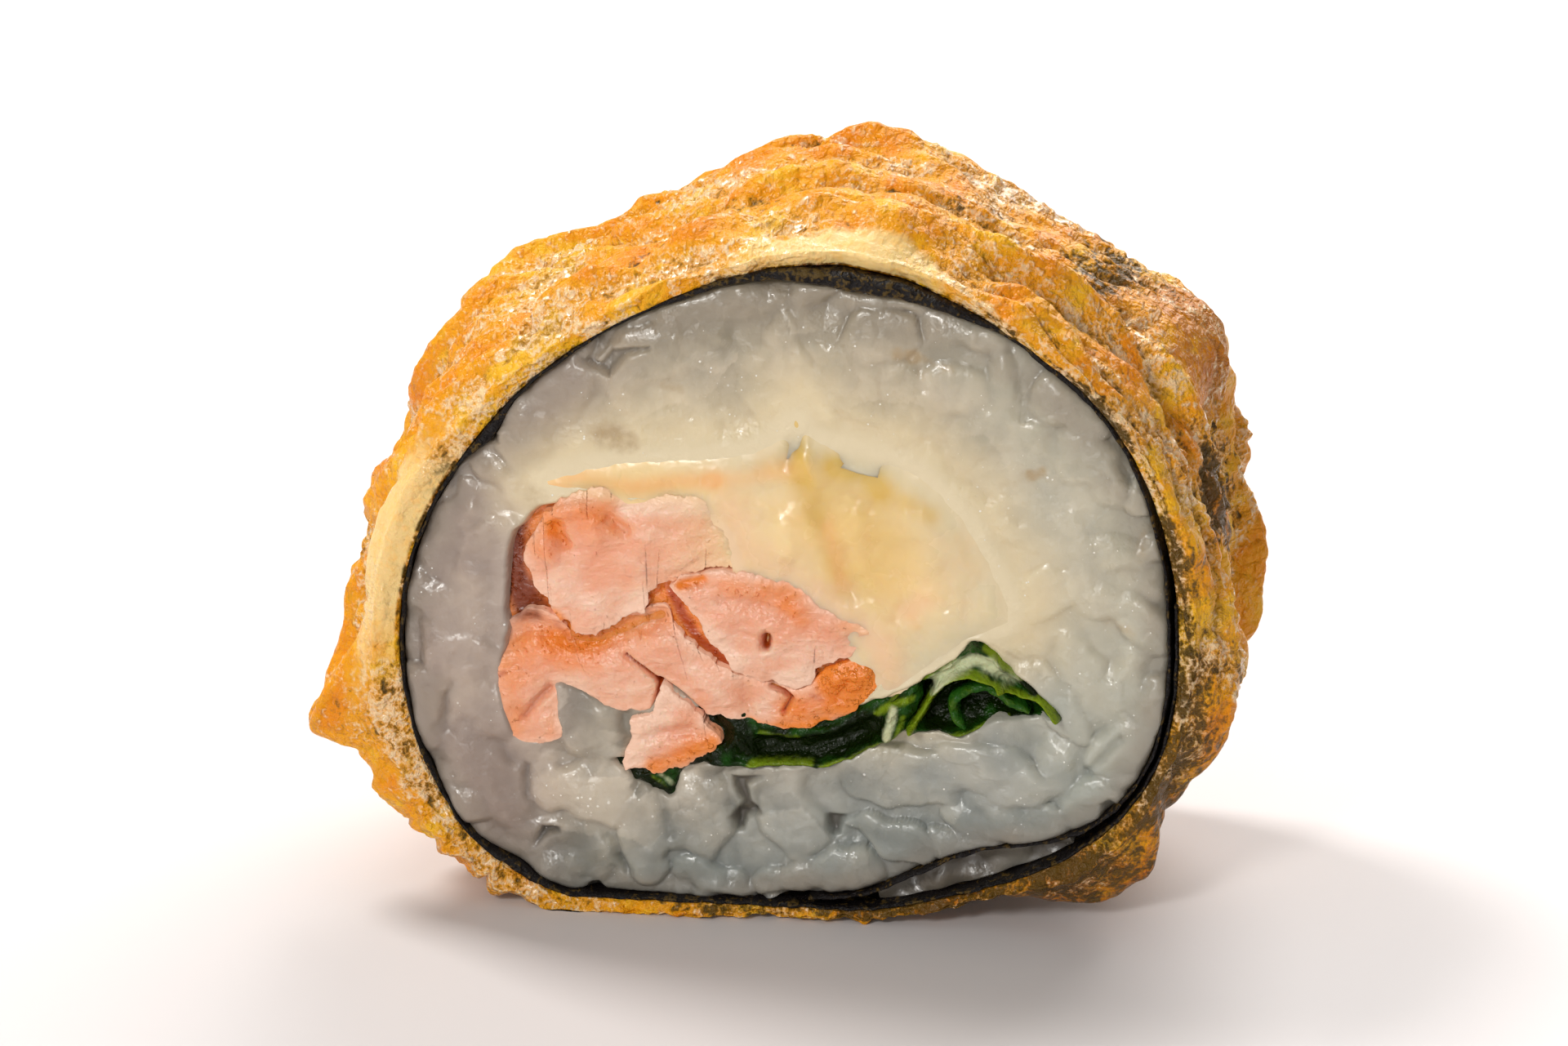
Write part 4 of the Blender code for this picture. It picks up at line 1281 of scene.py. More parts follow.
@dataclass
class Salmon:
    """Four flakes of cooked salmon, torn along their grain, and the flesh seen down their splits."""

    place: Place
    upper: Part = Part(
        "salmon_upper_flake", "salmon_upper",
        (
            -17.8, 4.5, -17.3, 5.8, -16.5, 6.9, -15.6, 8.1, -14.4, 8.8, -13.0, 9.1, -11.6, 8.8, -10.6, 8.4,
            -8.6, 8.9, -5.4, 9.2, -3.0, 9.2, -0.6, 7.6,
        ),
        (
            -17.8, 4.0, -17.2, 2.8, -16.5, 1.7, -15.8, 0.7, -15.0, -0.2, -14.4, -0.7, -13.5, -0.7,
            -12.3, -0.2, -11.0, 0.5, -9.9, 0.9, -9.7, 2.2, -8.4, 3.0, -6.7, 3.7, -5.3, 4.0, -3.4, 4.4,
            -0.6, 6.4,
        ),
        0.05, across=220, down=80, ragged=0.3, seed=2,
        dents=(
            (0.5, 0.35, -15.6, 7.4, -14.2, 8.0), (0.5, -0.6, -15.6, 6.6, -15.2, 5.4),
            (0.7, 0.3, -13.6, 7.6, -13.0, 5.6), (0.4, -0.35, -12.2, 7.2, -11.2, 6.4),
            (0.5, 0.3, -16.6, 5.2, -16.0, 4.2), (4.0, -0.7, -0.6, 8.8, -1.2, 5.4),
        ),
        tints={
            "skin": (
                (1.3, 0.65, -16.2, 7.2, -14.8, 7.4, -12.8, 7.4), (0.6, 0.7, -15.8, 6.2, -15.0, 5.2),
                (0.8, 0.45, -17.2, 5.2, -16.2, 4.6), (0.45, 0.8, -15.8, 0.6, -14.9, -0.5),
                (0.6, 0.4, -11.8, 6.6, -11.0, 6.4), (0.5, 0.3, -11.4, 2.6, -10.0, 2.9),
            ),
            "light": (
                (0.6, 0.9, -11.0, 7.9, -8.6, 8.2, -5.0, 8.3), (1.0, 0.5, -15.8, 3.0, -13.6, 1.4, -11.0, 1.2),
                (0.5, 0.5, -10.4, 1.4, -10.2, 3.0),
            ),
            "melt": ((4.6, 1.35, -1.6, 8.8, -2.0, 5.2), (0.6, 0.7, -15.0, 9.1, -11.0, 8.8, -5.0, 9.4)),
        },
    )
    right: Part = Part(
        "salmon_right_flake", "salmon_right",
        (
            -8.3, 2.8, -7.4, 3.5, -5.4, 3.8, -3.6, 3.9, -1.7, 3.7, 0.1, 3.2, 1.2, 2.0, 2.7, 1.1, 4.4, 0.6,
            4.9, 0.2,
        ),
        (
            -8.0, 2.4, -7.1, 1.5, -6.4, 0.4, -5.9, -0.6, -5.0, -1.5, -4.1, -2.7, -2.7, -3.3, -1.2, -3.5,
            0.1, -3.9, 1.1, -3.2, 1.3, -2.4, 3.5, -1.4, 4.9, -0.1,
        ),
        0.05, across=180, down=70, ragged=0.2, seed=3,
        dents=(
            (0.3, -1.2, -2.0, -0.5, -2.05, -1.0), (0.6, 0.15, -5.4, 0.6, -3.6, 1.0, -2.0, 0.4),
            (0.4, -0.2, -5.0, 2.0, -2.4, 1.8, -0.6, 1.0), (0.4, -0.3, -7.4, 3.0, -6.2, 3.2),
        ),
        tints={
            "skin": (
                (1.1, 0.6, -5.0, 2.9, -2.6, 2.7, -0.4, 2.5), (0.7, 0.45, -0.6, 1.6, 0.2, 1.0),
                (0.4, 0.9, -7.6, 2.9, -6.2, 3.3), (0.8, 0.45, 3.2, 0.8, 4.6, 0.2),
            ),
            "light": (
                (0.7, 0.6, -5.6, -0.4, -3.8, -2.2), (0.6, 0.8, -1.0, -3.2, 0.8, -2.8),
                (0.8, 0.4, -2.6, -1.8, 1.6, -1.2),
            ),
            "split_shade": ((0.28, 1.1, -2.0, -0.5, -2.05, -1.1),), "melt": ((1.2, 0.5, 4.6, 0.4, 4.9, 0.0),),
        },
    )
    lower: Part = Part(
        "salmon_lower_flake", "salmon_lower",
        (
            -18.9, -7.8, -19.4, -6.0, -19.6, -3.8, -19.3, -2.2, -18.9, -0.3, -17.0, 0.8, -15.7, 0.1,
            -14.8, -0.9, -13.1, -0.8, -11.6, 0.2, -10.1, 0.8, -8.7, 1.2, -7.8, -0.2, -6.2, -1.8, -4.2, -3.0,
            -2.7, -3.5, -1.3, -3.7, 0.1, -4.1, 1.2, -3.1, 2.9, -2.1, 4.8, -1.8, 5.6, -2.4,
        ),
        (
            -18.7, -8.2, -17.9, -8.6, -16.6, -8.6, -15.5, -8.0, -15.5, -6.4, -15.6, -4.6, -14.1, -5.0,
            -12.8, -5.7, -11.3, -6.0, -10.2, -6.0, -9.3, -5.6, -8.6, -4.6, -7.5, -5.1, -6.4, -5.8, -4.9, -6.1,
            -3.4, -6.4, -1.9, -6.6, 0.1, -6.7, 1.8, -6.1, 3.7, -5.3, 4.8, -4.1, 5.7, -2.8,
        ),
        -0.15, across=280, down=64, ragged=0.16, seed=4,
        dents=(
            (0.9, -0.8, -19.2, -1.6, -17.2, -0.4, -15.2, -1.2, -13.2, -1.2, -11.2, -0.3, -9.0, 0.4),
            (0.12, -0.5, -11.2, -2.2, -10.0, -3.1, -9.0, -3.9),
            (0.2, -1.2, -9.0, -3.9, -7.6, -4.8, -6.3, -5.9), (0.12, -0.7, -9.0, -4.0, -9.4, -5.9),
            (0.14, -0.8, -1.7, -3.9, -0.9, -4.2, -0.4, -4.6, -0.9, -5.6),
            (0.3, -0.5, -17.9, -6.8, -17.0, -5.6, -16.2, -4.8), (0.5, -0.25, -3.3, -3.9, -3.2, -6.2),
            (0.5, 0.3, 2.4, -3.0, 4.4, -2.6), (0.4, -0.3, 3.2, -3.4, 2.6, -4.4),
        ),
        tints={
            "skin": (
                (1.5, 0.6, -18.6, -3.0, -17.4, -1.2, -15.0, -2.0, -13.0, -1.4, -11.2, -0.6, -9.0, 0.2),
                (0.6, 0.4, -16.0, -1.4, -13.6, -1.6, -11.4, -0.2), (1.0, 0.35, -18.9, -4.6, -18.5, -7.8),
                (0.6, 0.4, -16.3, -8.0, -16.2, -6.4), (1.1, 1.7, 2.2, -3.2, 4.6, -2.6, 3.8, -4.0),
                (1.3, 0.7, -0.4, -5.4, 1.6, -5.6, 2.6, -4.8), (0.3, 0.6, -3.0, -6.4, 0.0, -6.6, 1.8, -6.1),
                (0.5, 0.35, -3.3, -3.9, -3.2, -6.2),
            ),
            "light": (
                (1.0, 0.4, -14.0, -3.6, -11.0, -4.6), (0.6, 0.4, -2.6, -5.4, -1.6, -4.6),
                (0.8, 0.3, -7.0, -2.6, -5.0, -4.4),
            ),
            # Painted shade down the splits
            "split_shade": (
                (0.11, 1.0, -11.2, -2.2, -10.0, -3.1, -9.0, -3.9),
                (0.2, 1.3, -9.0, -3.9, -7.6, -4.8, -6.3, -5.9), (0.11, 1.0, -9.0, -4.0, -9.4, -5.9),
                (0.12, 1.0, -1.7, -3.9, -0.9, -4.2, -0.4, -4.6), (0.08, 0.6, -0.4, -4.6, -0.9, -5.6),
                (0.35, 0.5, -15.8, -0.5, -15.0, -1.5, -13.6, -1.4, -12.9, -0.9),
                (0.28, 0.5, -17.9, -6.8, -17.0, -5.6, -16.2, -4.8), (0.3, 0.6, -19.5, -4.0, -19.2, -3.8),
                (0.35, 0.5, 0.9, -4.3, 1.6, -4.6),
            ),
            # Painted shade in the hollows
            "hollow": ((0.8, 0.7, -18.9, 0.2, -17.2, 0.2), (0.15, 1.2, -8.0, -4.8, -6.2, -6.1)),
        },
    )
    flake: Part = Part(
        "salmon_loose_flake", "salmon_flake",
        (
            -11.4, -9.4, -10.9, -8.0, -10.8, -6.6, -10.0, -6.1, -9.3, -5.8, -8.9, -4.1, -7.6, -4.9,
            -6.4, -6.0, -5.5, -6.9, -5.0, -7.5,
        ),
        (-11.2, -10.0, -10.2, -9.8, -9.2, -10.1, -8.3, -9.9, -7.2, -9.4, -5.8, -8.7, -4.9, -7.8), 0.25,
        across=120, down=60, ragged=0.22, seed=5, dents=((0.5, -0.25, -9.6, -7.6, -7.0, -7.0),),
        tints={
            "skin": ((0.9, 0.9, -9.4, -9.7, -7.4, -9.0, -5.6, -8.0), (0.8, 0.3, -6.6, -7.4, -5.6, -7.2)),
            "light": ((1.0, 0.8, -10.8, -9.4, -10.2, -7.6, -9.4, -6.4), (0.8, 0.4, -8.6, -4.6, -8.4, -6.0)),
        },
    )
    behind: Part = Part(
        "salmon_behind", "salmon_lower",
        (-19.0, 4.6, -18.4, 6.2, -16.0, 8.2, -10.0, 8.4, -4.0, 8.0, 1.0, 3.2, 4.6, 0.2),
        (-19.2, 1.2, -18.8, -1.4, -15.0, -3.4, -8.0, -3.6, -2.0, -5.0, 2.0, -4.6, 4.8, -2.6), -1.0,
        across=110, down=60, ragged=0.3, seed=9,
        tints={
            # Painted shade in the hollows
            "hollow": (
                (1.1, 1.0, -18.6, 5.8, -18.6, 3.4, -18.2, 1.4, -17.6, 0.0),
                (0.9, 0.4, -17.0, 1.8, -16.4, 0.4),
            ),
            # Painted shade down the splits
            "split_shade": (
                (0.5, 0.9, -8.3, 2.2, -7.6, 0.6, -6.6, -1.0, -5.0, -2.4, -4.2, -3.1),
                (0.9, 0.45, -16.4, 0.2, -14.6, -1.2, -12.8, -0.8),
            ),
            "skin": ((30.0, 0.95, -8.0, 2.0),),
        },
    )

    def relief(self, part: Part, x: Array, z: Array, inwards: Array, side: Side) -> Array:
        """The height of a flake's cut: a low rounded rim, soft layers across it and faint fibres.

        Layers are a sine of a slanted, bent distance and fibres a noise drawn out along them.
        """
        shift = side.shift
        seed = part.seed
        bend = 1.6 * swirl(x * 0.2 + shift, z * 0.2, 58 + seed)
        layers = np.sin((0.5 * x - 0.85 * z) * 1.7 + 2.0 * bend)
        patch = smooth(-0.1, 0.4, swirl(x * 0.18 + shift, z * 0.18, 62 + seed))
        fibres = drift((0.85 * x + 0.5 * z) * 0.35 + shift, (0.5 * x - 0.85 * z) * 1.3, 60 + seed, 3)
        swell = drift(x * 0.22 + shift, z * 0.22, 64 + seed, 2)
        rim = -0.06 * np.exp(-inwards / 0.15) - 0.14 * np.exp(-inwards / 0.9)
        return rim + (0.09 * layers * patch + 0.06 * fibres) * smooth(0.0, 0.8, inwards) + 0.22 * swell

    def marks(self, part: Part, x: Array, z: Array, inwards: Array) -> dict[str, Array]:
        """The flesh's tints, with torn edges lighter as a painted highlight, and painted shade down the
        splits and in the hollows.
        """
        found = {mark: part.tint(mark, x, z) for mark in ("skin", "split_shade", "melt", "hollow")}
        # Painted highlight: a paler rim along every torn edge.
        found["light"] = part.tint("light", x, z) + 0.4 * np.exp(-inwards / 0.45)
        found["border"] = smooth(1.0, 0.2, inwards)
        return found

    def build(self) -> list[bpy.types.Object]:
        """Makes the four flakes, and the flesh behind them.

        Returns:
            The pieces.
        """
        finish = SalmonFinish("cooked salmon")
        parts = (self.behind, self.upper, self.right, self.lower, self.flake)
        return [filling(part, self.place, self.relief, self.marks, finish) for part in parts]


@dataclass
class Cheese:
    """Melted cream cheese, run into the rice round it, with a hollow, a crease and a pocket."""

    place: Place
    part: Part = Part(
        "cheese", "cream_cheese",
        (
            -16.6, 9.6, -13.0, 10.8, -9.3, 11.3, -4.5, 11.8, -1.7, 12.9, -0.2, 14.5, 1.4, 13.2, 4.4, 12.6,
            7.8, 11.2, 10.6, 8.4, 12.4, 5.4, 13.8, 2.4,
        ),
        (
            -16.4, 9.0, -13.0, 8.0, -9.0, 7.6, -5.4, 6.8, -3.8, 3.0, -1.6, 1.8, 0.9, 0.2, 3.2, -1.7,
            5.8, -4.2, 8.4, -2.6, 11.0, -0.6, 13.8, 1.2,
        ),
        0.0, across=220, down=90, ragged=0.1, seed=6,
        dents=(
            (0.9, -0.3, 1.6, 8.4, 2.2, 6.4, 2.7, 4.6, 3.3, 2.8),
            (0.6, -0.2, -0.3, 13.2, -0.3, 12.6, -0.6, 11.8), (2.4, -0.4, 3.6, 9.4, 4.8, 7.6, 5.6, 5.6),
            (0.7, 0.25, 0.5, 11.6, 1.2, 10.4), (1.0, 0.35, -0.9, 7.4, -0.6, 5.6),
        ),
        tints={
            "hollow": (
                (0.7, 0.9, -0.2, 14.2, 0.0, 12.4, 0.3, 10.8),
                (0.9, 0.45, 0.7, 9.8, 1.2, 8.2, 1.9, 6.6, 2.6, 4.0),
                (0.9, 0.9, 2.4, 11.4, 4.4, 11.2, 5.4, 9.8),
                (2.6, 0.55, 2.6, 9.4, 4.6, 7.8, 5.6, 5.8, 4.6, 4.0), (0.7, 0.5, 7.0, 9.2, 8.6, 8.4),
                (0.8, 0.35, -2.0, 11.0, -0.6, 10.8),
            ),
            "line": (
                (0.7, 0.9, -16.0, 8.8, -14.4, 9.7, -12.4, 9.5, -10.6, 9.3, -8.0, 9.8, -5.4, 10.1),
                (0.7, 0.45, -5.4, 10.1, -3.0, 10.4, -1.0, 11.0), (0.6, 0.5, 2.0, 7.2, 2.4, 5.2, 2.9, 3.2),
                (0.4, 0.3, 7.4, 1.4, 7.7, 0.8),
            ),
            "blush": (
                (1.6, 0.6, -4.6, 8.0, -3.4, 5.0, -1.0, 3.6),
                (1.2, 0.7, 1.2, 2.6, 3.4, 0.8, 5.2, -0.6, 6.0, -3.0), (0.8, 0.5, 7.2, 1.6, 8.2, 2.6),
            ),
        },
    )

    def relief(self, part: Part, x: Array, z: Array, inwards: Array, side: Side) -> Array:
        """A soft swell that dips under the rice at its edge."""
        shift = side.shift
        swell = 0.3 * drift(x * 0.2 + shift, z * 0.2, 81, 2) + 0.08 * drift(x * 0.7 + shift, z * 0.7, 82, 2)
        return swell * smooth(0.0, 3.0, inwards) - 0.36 * np.exp(-inwards / 1.2)

    def marks(self, part: Part, x: Array, z: Array, inwards: Array) -> dict[str, Array]:
        """The cheese's tints, thinning out over the rice at its right and upper edges."""
        found = {mark: part.tint(mark, x, z) for mark in ("hollow", "line", "blush")}
        right = smooth(-9.0, 3.0, x + 0.8 * z - 5.0)
        edge = smooth(1.4, 0.4, inwards) * smooth(-8.0, -3.0, x)
        found["fade"] = np.maximum(edge, smooth(6.0, 0.8, inwards) * right)
        found["border"] = smooth(1.2, 0.3, inwards)
        return found

    def build(self) -> bpy.types.Object:
        """Makes the cheese."""
        return filling(self.part, self.place, self.relief, self.marks, CheeseFinish("melted cheese"))


@dataclass
class Leaves:
    """The wilted leaf: a crumpled strip under the salmon and a fold with a curl inside it."""

    place: Place
    strip: Part = Part(
        "leaf_crumple", "leaf_strip",
        (
            -12.2, -9.2, -10.9, -9.2, -9.4, -9.6, -7.2, -8.6, -6.6, -5.5, -4.6, -5.6, -2.7, -5.9, -0.1, -6.1,
            1.7, -5.7, 3.4, -5.1, 4.7, -4.5, 6.0, -4.0, 7.9, -3.0,
        ),
        (
            -12.2, -9.5, -10.9, -10.7, -9.4, -11.6, -8.2, -11.9, -7.4, -10.0, -5.6, -9.6, -3.1, -9.6,
            -0.1, -9.5, 1.6, -9.4, 3.6, -8.6, 5.2, -7.6, 6.9, -6.6, 8.1, -4.2,
        ),
        -0.25, across=220, down=52, ragged=0.2, seed=7,
        dents=(
            (0.35, 0.7, -5.6, -9.3, -3.2, -9.3, -0.6, -9.2, 1.6, -9.2, 3.4, -8.5, 5.2, -7.4, 6.8, -6.3),
            (0.35, 0.5, -2.6, -7.1, -0.4, -7.2, 1.8, -6.9, 3.6, -6.2, 5.0, -5.3),
            (0.5, 0.7, -5.2, -8.6, -4.0, -7.6, -3.2, -8.4), (0.6, 0.8, 6.2, -5.0, 5.9, -6.8),
            (0.5, 0.4, 7.0, -4.2, 7.2, -5.6), (1.2, -0.9, -2.0, -8.1, 1.0, -8.2, 4.2, -6.6),
            (0.7, -1.2, -6.0, -6.4, -5.0, -7.4),
        ),
        tints={
            "rim": (
                (0.35, 0.75, -3.0, -9.2, -1.0, -9.15, 0.8, -9.1),
                (0.22, 0.8, 1.5, -9.3, 3.4, -8.6, 5.2, -7.5, 6.6, -6.7), (0.3, 0.5, -5.4, -9.5, -3.4, -9.6),
                (0.25, 0.5, -2.4, -7.0, 0.0, -7.3), (0.3, 0.8, 5.2, -5.3, 6.2, -4.5, 7.4, -4.2),
                (0.3, 0.7, 6.6, -6.4, 6.9, -5.4), (0.25, 0.4, -9.6, -10.4, -8.6, -11.2),
            ),
            "film": ((0.4, 0.9, 6.3, -4.9, 6.2, -5.7, 5.9, -6.6), (0.3, 0.5, -9.0, -10.3, -8.2, -11.0)),
            "shade": (
                (0.9, 0.9, -2.2, -8.2, 0.6, -8.2, 3.0, -7.4, 4.8, -6.2),
                (0.8, 1.0, -6.6, -6.2, -5.0, -7.2, -4.2, -6.9), (0.6, 0.8, -7.4, -9.4, -5.6, -9.0),
                (0.5, 0.8, -11.8, -9.5, -10.6, -10.3, -9.0, -11.5),
            ),
        },
    )
    fold: Part = Part(
        "leaf_fold", "leaf_fold",
        (
            5.6, -5.1, 6.2, -4.1, 7.0, -3.5, 8.0, -2.8, 9.0, -2.1, 10.0, -1.4, 10.7, -0.7, 11.2, 0.0,
            12.0, -0.1, 12.8, -0.6, 13.2, -1.2, 14.0, -2.0, 15.2, -2.9, 16.0, -3.7, 16.8, -4.5, 17.2, -5.0,
        ),
        (
            5.6, -5.4, 6.6, -6.6, 7.2, -6.8, 8.2, -6.7, 9.6, -6.7, 10.5, -6.9, 11.2, -6.6, 12.2, -6.0,
            13.0, -5.5, 14.0, -5.6, 15.5, -5.4, 17.2, -5.3,
        ),
        -0.75, across=170, down=90, ragged=0.08, seed=8,
        dents=(
            (0.32, 1.0, 6.0, -4.4, 7.0, -3.6, 8.0, -2.9, 9.0, -2.2, 10.0, -1.5, 10.8, -0.8, 11.3, -0.3),
            (0.35, 1.0, 11.6, -0.4, 12.8, -1.0, 13.8, -2.1, 15.0, -3.1, 16.0, -4.0, 16.9, -4.9),
            (0.9, 0.5, 10.2, -1.9, 11.6, -1.3, 12.8, -1.8),
            (
                0.3, 1.3, 7.4, -6.2, 8.1, -5.2, 8.7, -4.0, 9.4, -3.1, 10.2, -2.5, 11.2, -2.3, 12.2, -2.6,
                13.2, -3.2,
            ),
            (0.3, 1.2, 13.2, -3.2, 14.4, -3.8, 15.4, -4.0, 16.2, -4.5, 16.9, -5.1),
            (0.35, 0.9, 7.4, -6.4, 9.0, -6.4, 10.4, -6.6, 11.6, -6.2, 12.8, -5.6, 14.4, -5.3, 16.4, -5.2),
            (1.3, -1.2, 9.0, -5.0, 11.0, -4.4, 13.4, -4.4, 15.2, -4.7), (0.5, -1.2, 7.4, -4.0, 8.2, -3.6),
        ),
        tints={
            "rim": (
                (0.28, 1.0, 7.3, -6.3, 8.1, -5.2, 8.7, -4.0, 9.4, -3.1, 10.2, -2.5, 11.2, -2.2, 12.2, -2.5),
                (0.26, 0.9, 12.2, -2.6, 13.2, -3.1, 14.4, -3.7, 15.4, -3.9, 16.3, -4.4, 16.9, -5.0),
                (0.22, 0.6, 6.0, -4.4, 7.0, -3.6, 8.6, -2.5, 10.2, -1.3),
                (0.25, 1.0, 12.2, -0.4, 13.0, -1.1, 14.0, -2.0, 14.6, -2.4),
                (0.25, 0.7, 9.8, -6.7, 11.2, -6.4, 12.4, -5.8, 13.6, -5.4),
                (0.2, 0.5, 15.6, -3.6, 16.6, -4.5),
            ),
            "film": (
                (0.55, 1.0, 9.0, -2.9, 10.0, -2.0, 11.4, -1.3, 12.4, -1.4),
                (0.7, 0.7, 12.6, -1.8, 13.8, -2.6), (0.25, 0.5, 8.6, -3.9, 9.3, -3.2),
                (0.2, 0.4, 7.6, -6.2, 7.8, -6.8),
            ),
            "shade": (
                (0.7, 1.2, 9.0, -5.6, 9.8, -3.8, 11.0, -3.0), (0.7, 1.0, 11.2, -4.8, 12.4, -4.0, 14.0, -4.6),
                (0.5, 1.5, 7.2, -4.0, 8.1, -3.6, 7.9, -4.8), (0.3, 0.8, 14.4, -2.5, 15.4, -3.3),
            ),
        },
    )
    curl: Row = (
        15.0, -4.9, 14.2, -4.5, 13.2, -3.9, 12.2, -3.3, 11.2, -3.4, 10.3, -4.0, 10.0, -4.8, 10.2, -5.6,
        10.9, -6.2,
    )
    curl_thick: float = 0.75
    curl_behind: float = 0.35
    curl_seed: int = 14

    def relief(self, part: Part, x: Array, z: Array, inwards: Array, side: Side) -> Array:
        """Crumpled leaf: shallow waves that run along it, and rounded rims."""
        shift = side.shift
        waves = 0.22 * drift(x * 0.5 + shift, z * 1.1 - 0.4 * x, 90 + part.seed, 4)
        return waves - 0.7 * np.exp(-inwards / 0.25)

    def marks(self, part: Part, x: Array, z: Array, inwards: Array) -> dict[str, Array]:
        """The leaf's tints."""
        return {mark: part.tint(mark, x, z) for mark in ("rim", "film", "shade")}

    def roll(self, finish: Finish) -> bpy.types.Object:
        """The curl, edge on: a thin closed band that follows its line and runs through the slice.

        Args:
            finish: how it looks.

        Returns:
            The piece.
        """
        count = 150
        line = curve_through(self.curl, count)
        tangent = np.gradient(line, axis=0)
        tangent /= np.linalg.norm(tangent, axis=1, keepdims=True)
        normal = np.column_stack([-tangent[:, 1], tangent[:, 0]])
        run = np.linspace(0.0, 1.0, count)
        share = np.concatenate([np.linspace(0.0, 0.16, 14), np.linspace(0.16, 1.0, 8)[1:]])
        place, down = np.meshgrid(np.arange(count), np.concatenate([share[::-1], share]))
        side = np.where(np.arange(len(down)) < len(share), 1.0, -1.0)[:, None]
        step = run[place] * np.linalg.norm(np.diff(line, axis=0), axis=1).sum()
        front = -0.5 * SLICE + self.curl_behind + 0.35 * drift(step * 0.5, 0.0 * step, self.curl_seed, 3)
        back = 0.5 * SLICE - self.curl_behind - 0.35 * drift(step * 0.5, 0.0 * step + 5.5, self.curl_seed, 3)
        along = front + (back - front) * down
        wave = 0.22 * drift(step * 0.4, along * 0.5, self.curl_seed + 1, 3)
        ends = 0.35 + 0.65 * smooth(0.0, 0.08, np.minimum(run, 1.0 - run))[place]
        from_end = np.minimum(along - front, back - along)
        half = 0.5 * self.curl_thick * ends * (0.35 + 0.65 * smooth(0.0, 0.5, from_end))
        plane = line[place] + normal[place] * (wave + side * half)[..., None]
        points = np.stack([plane[..., 0], along, plane[..., 1]], axis=-1).reshape(-1, 3)
        shape = (points, strip_faces(len(down), count))
        rim = smooth(1.0, 0.1, from_end)
        film = 0.55 * rim * smooth(0.35, 0.75, run[place])
        marks = {"rim": 0.3 * rim, "film": 0.35 * film, "shade": -0.5 * rim}
        return new_piece("leaf_curl", shape, marks, finish, self.place, "leaf_curl")

    def build(self) -> list[bpy.types.Object]:
        """Makes the strip, the fold and the curl.

        Returns:
            The pieces.
        """
        finish = LeafFinish("wilted leaf")
        flat = (self.strip, self.fold)
        made = [filling(part, self.place, self.relief, self.marks, finish) for part in flat]
        return made + [self.roll(finish)]


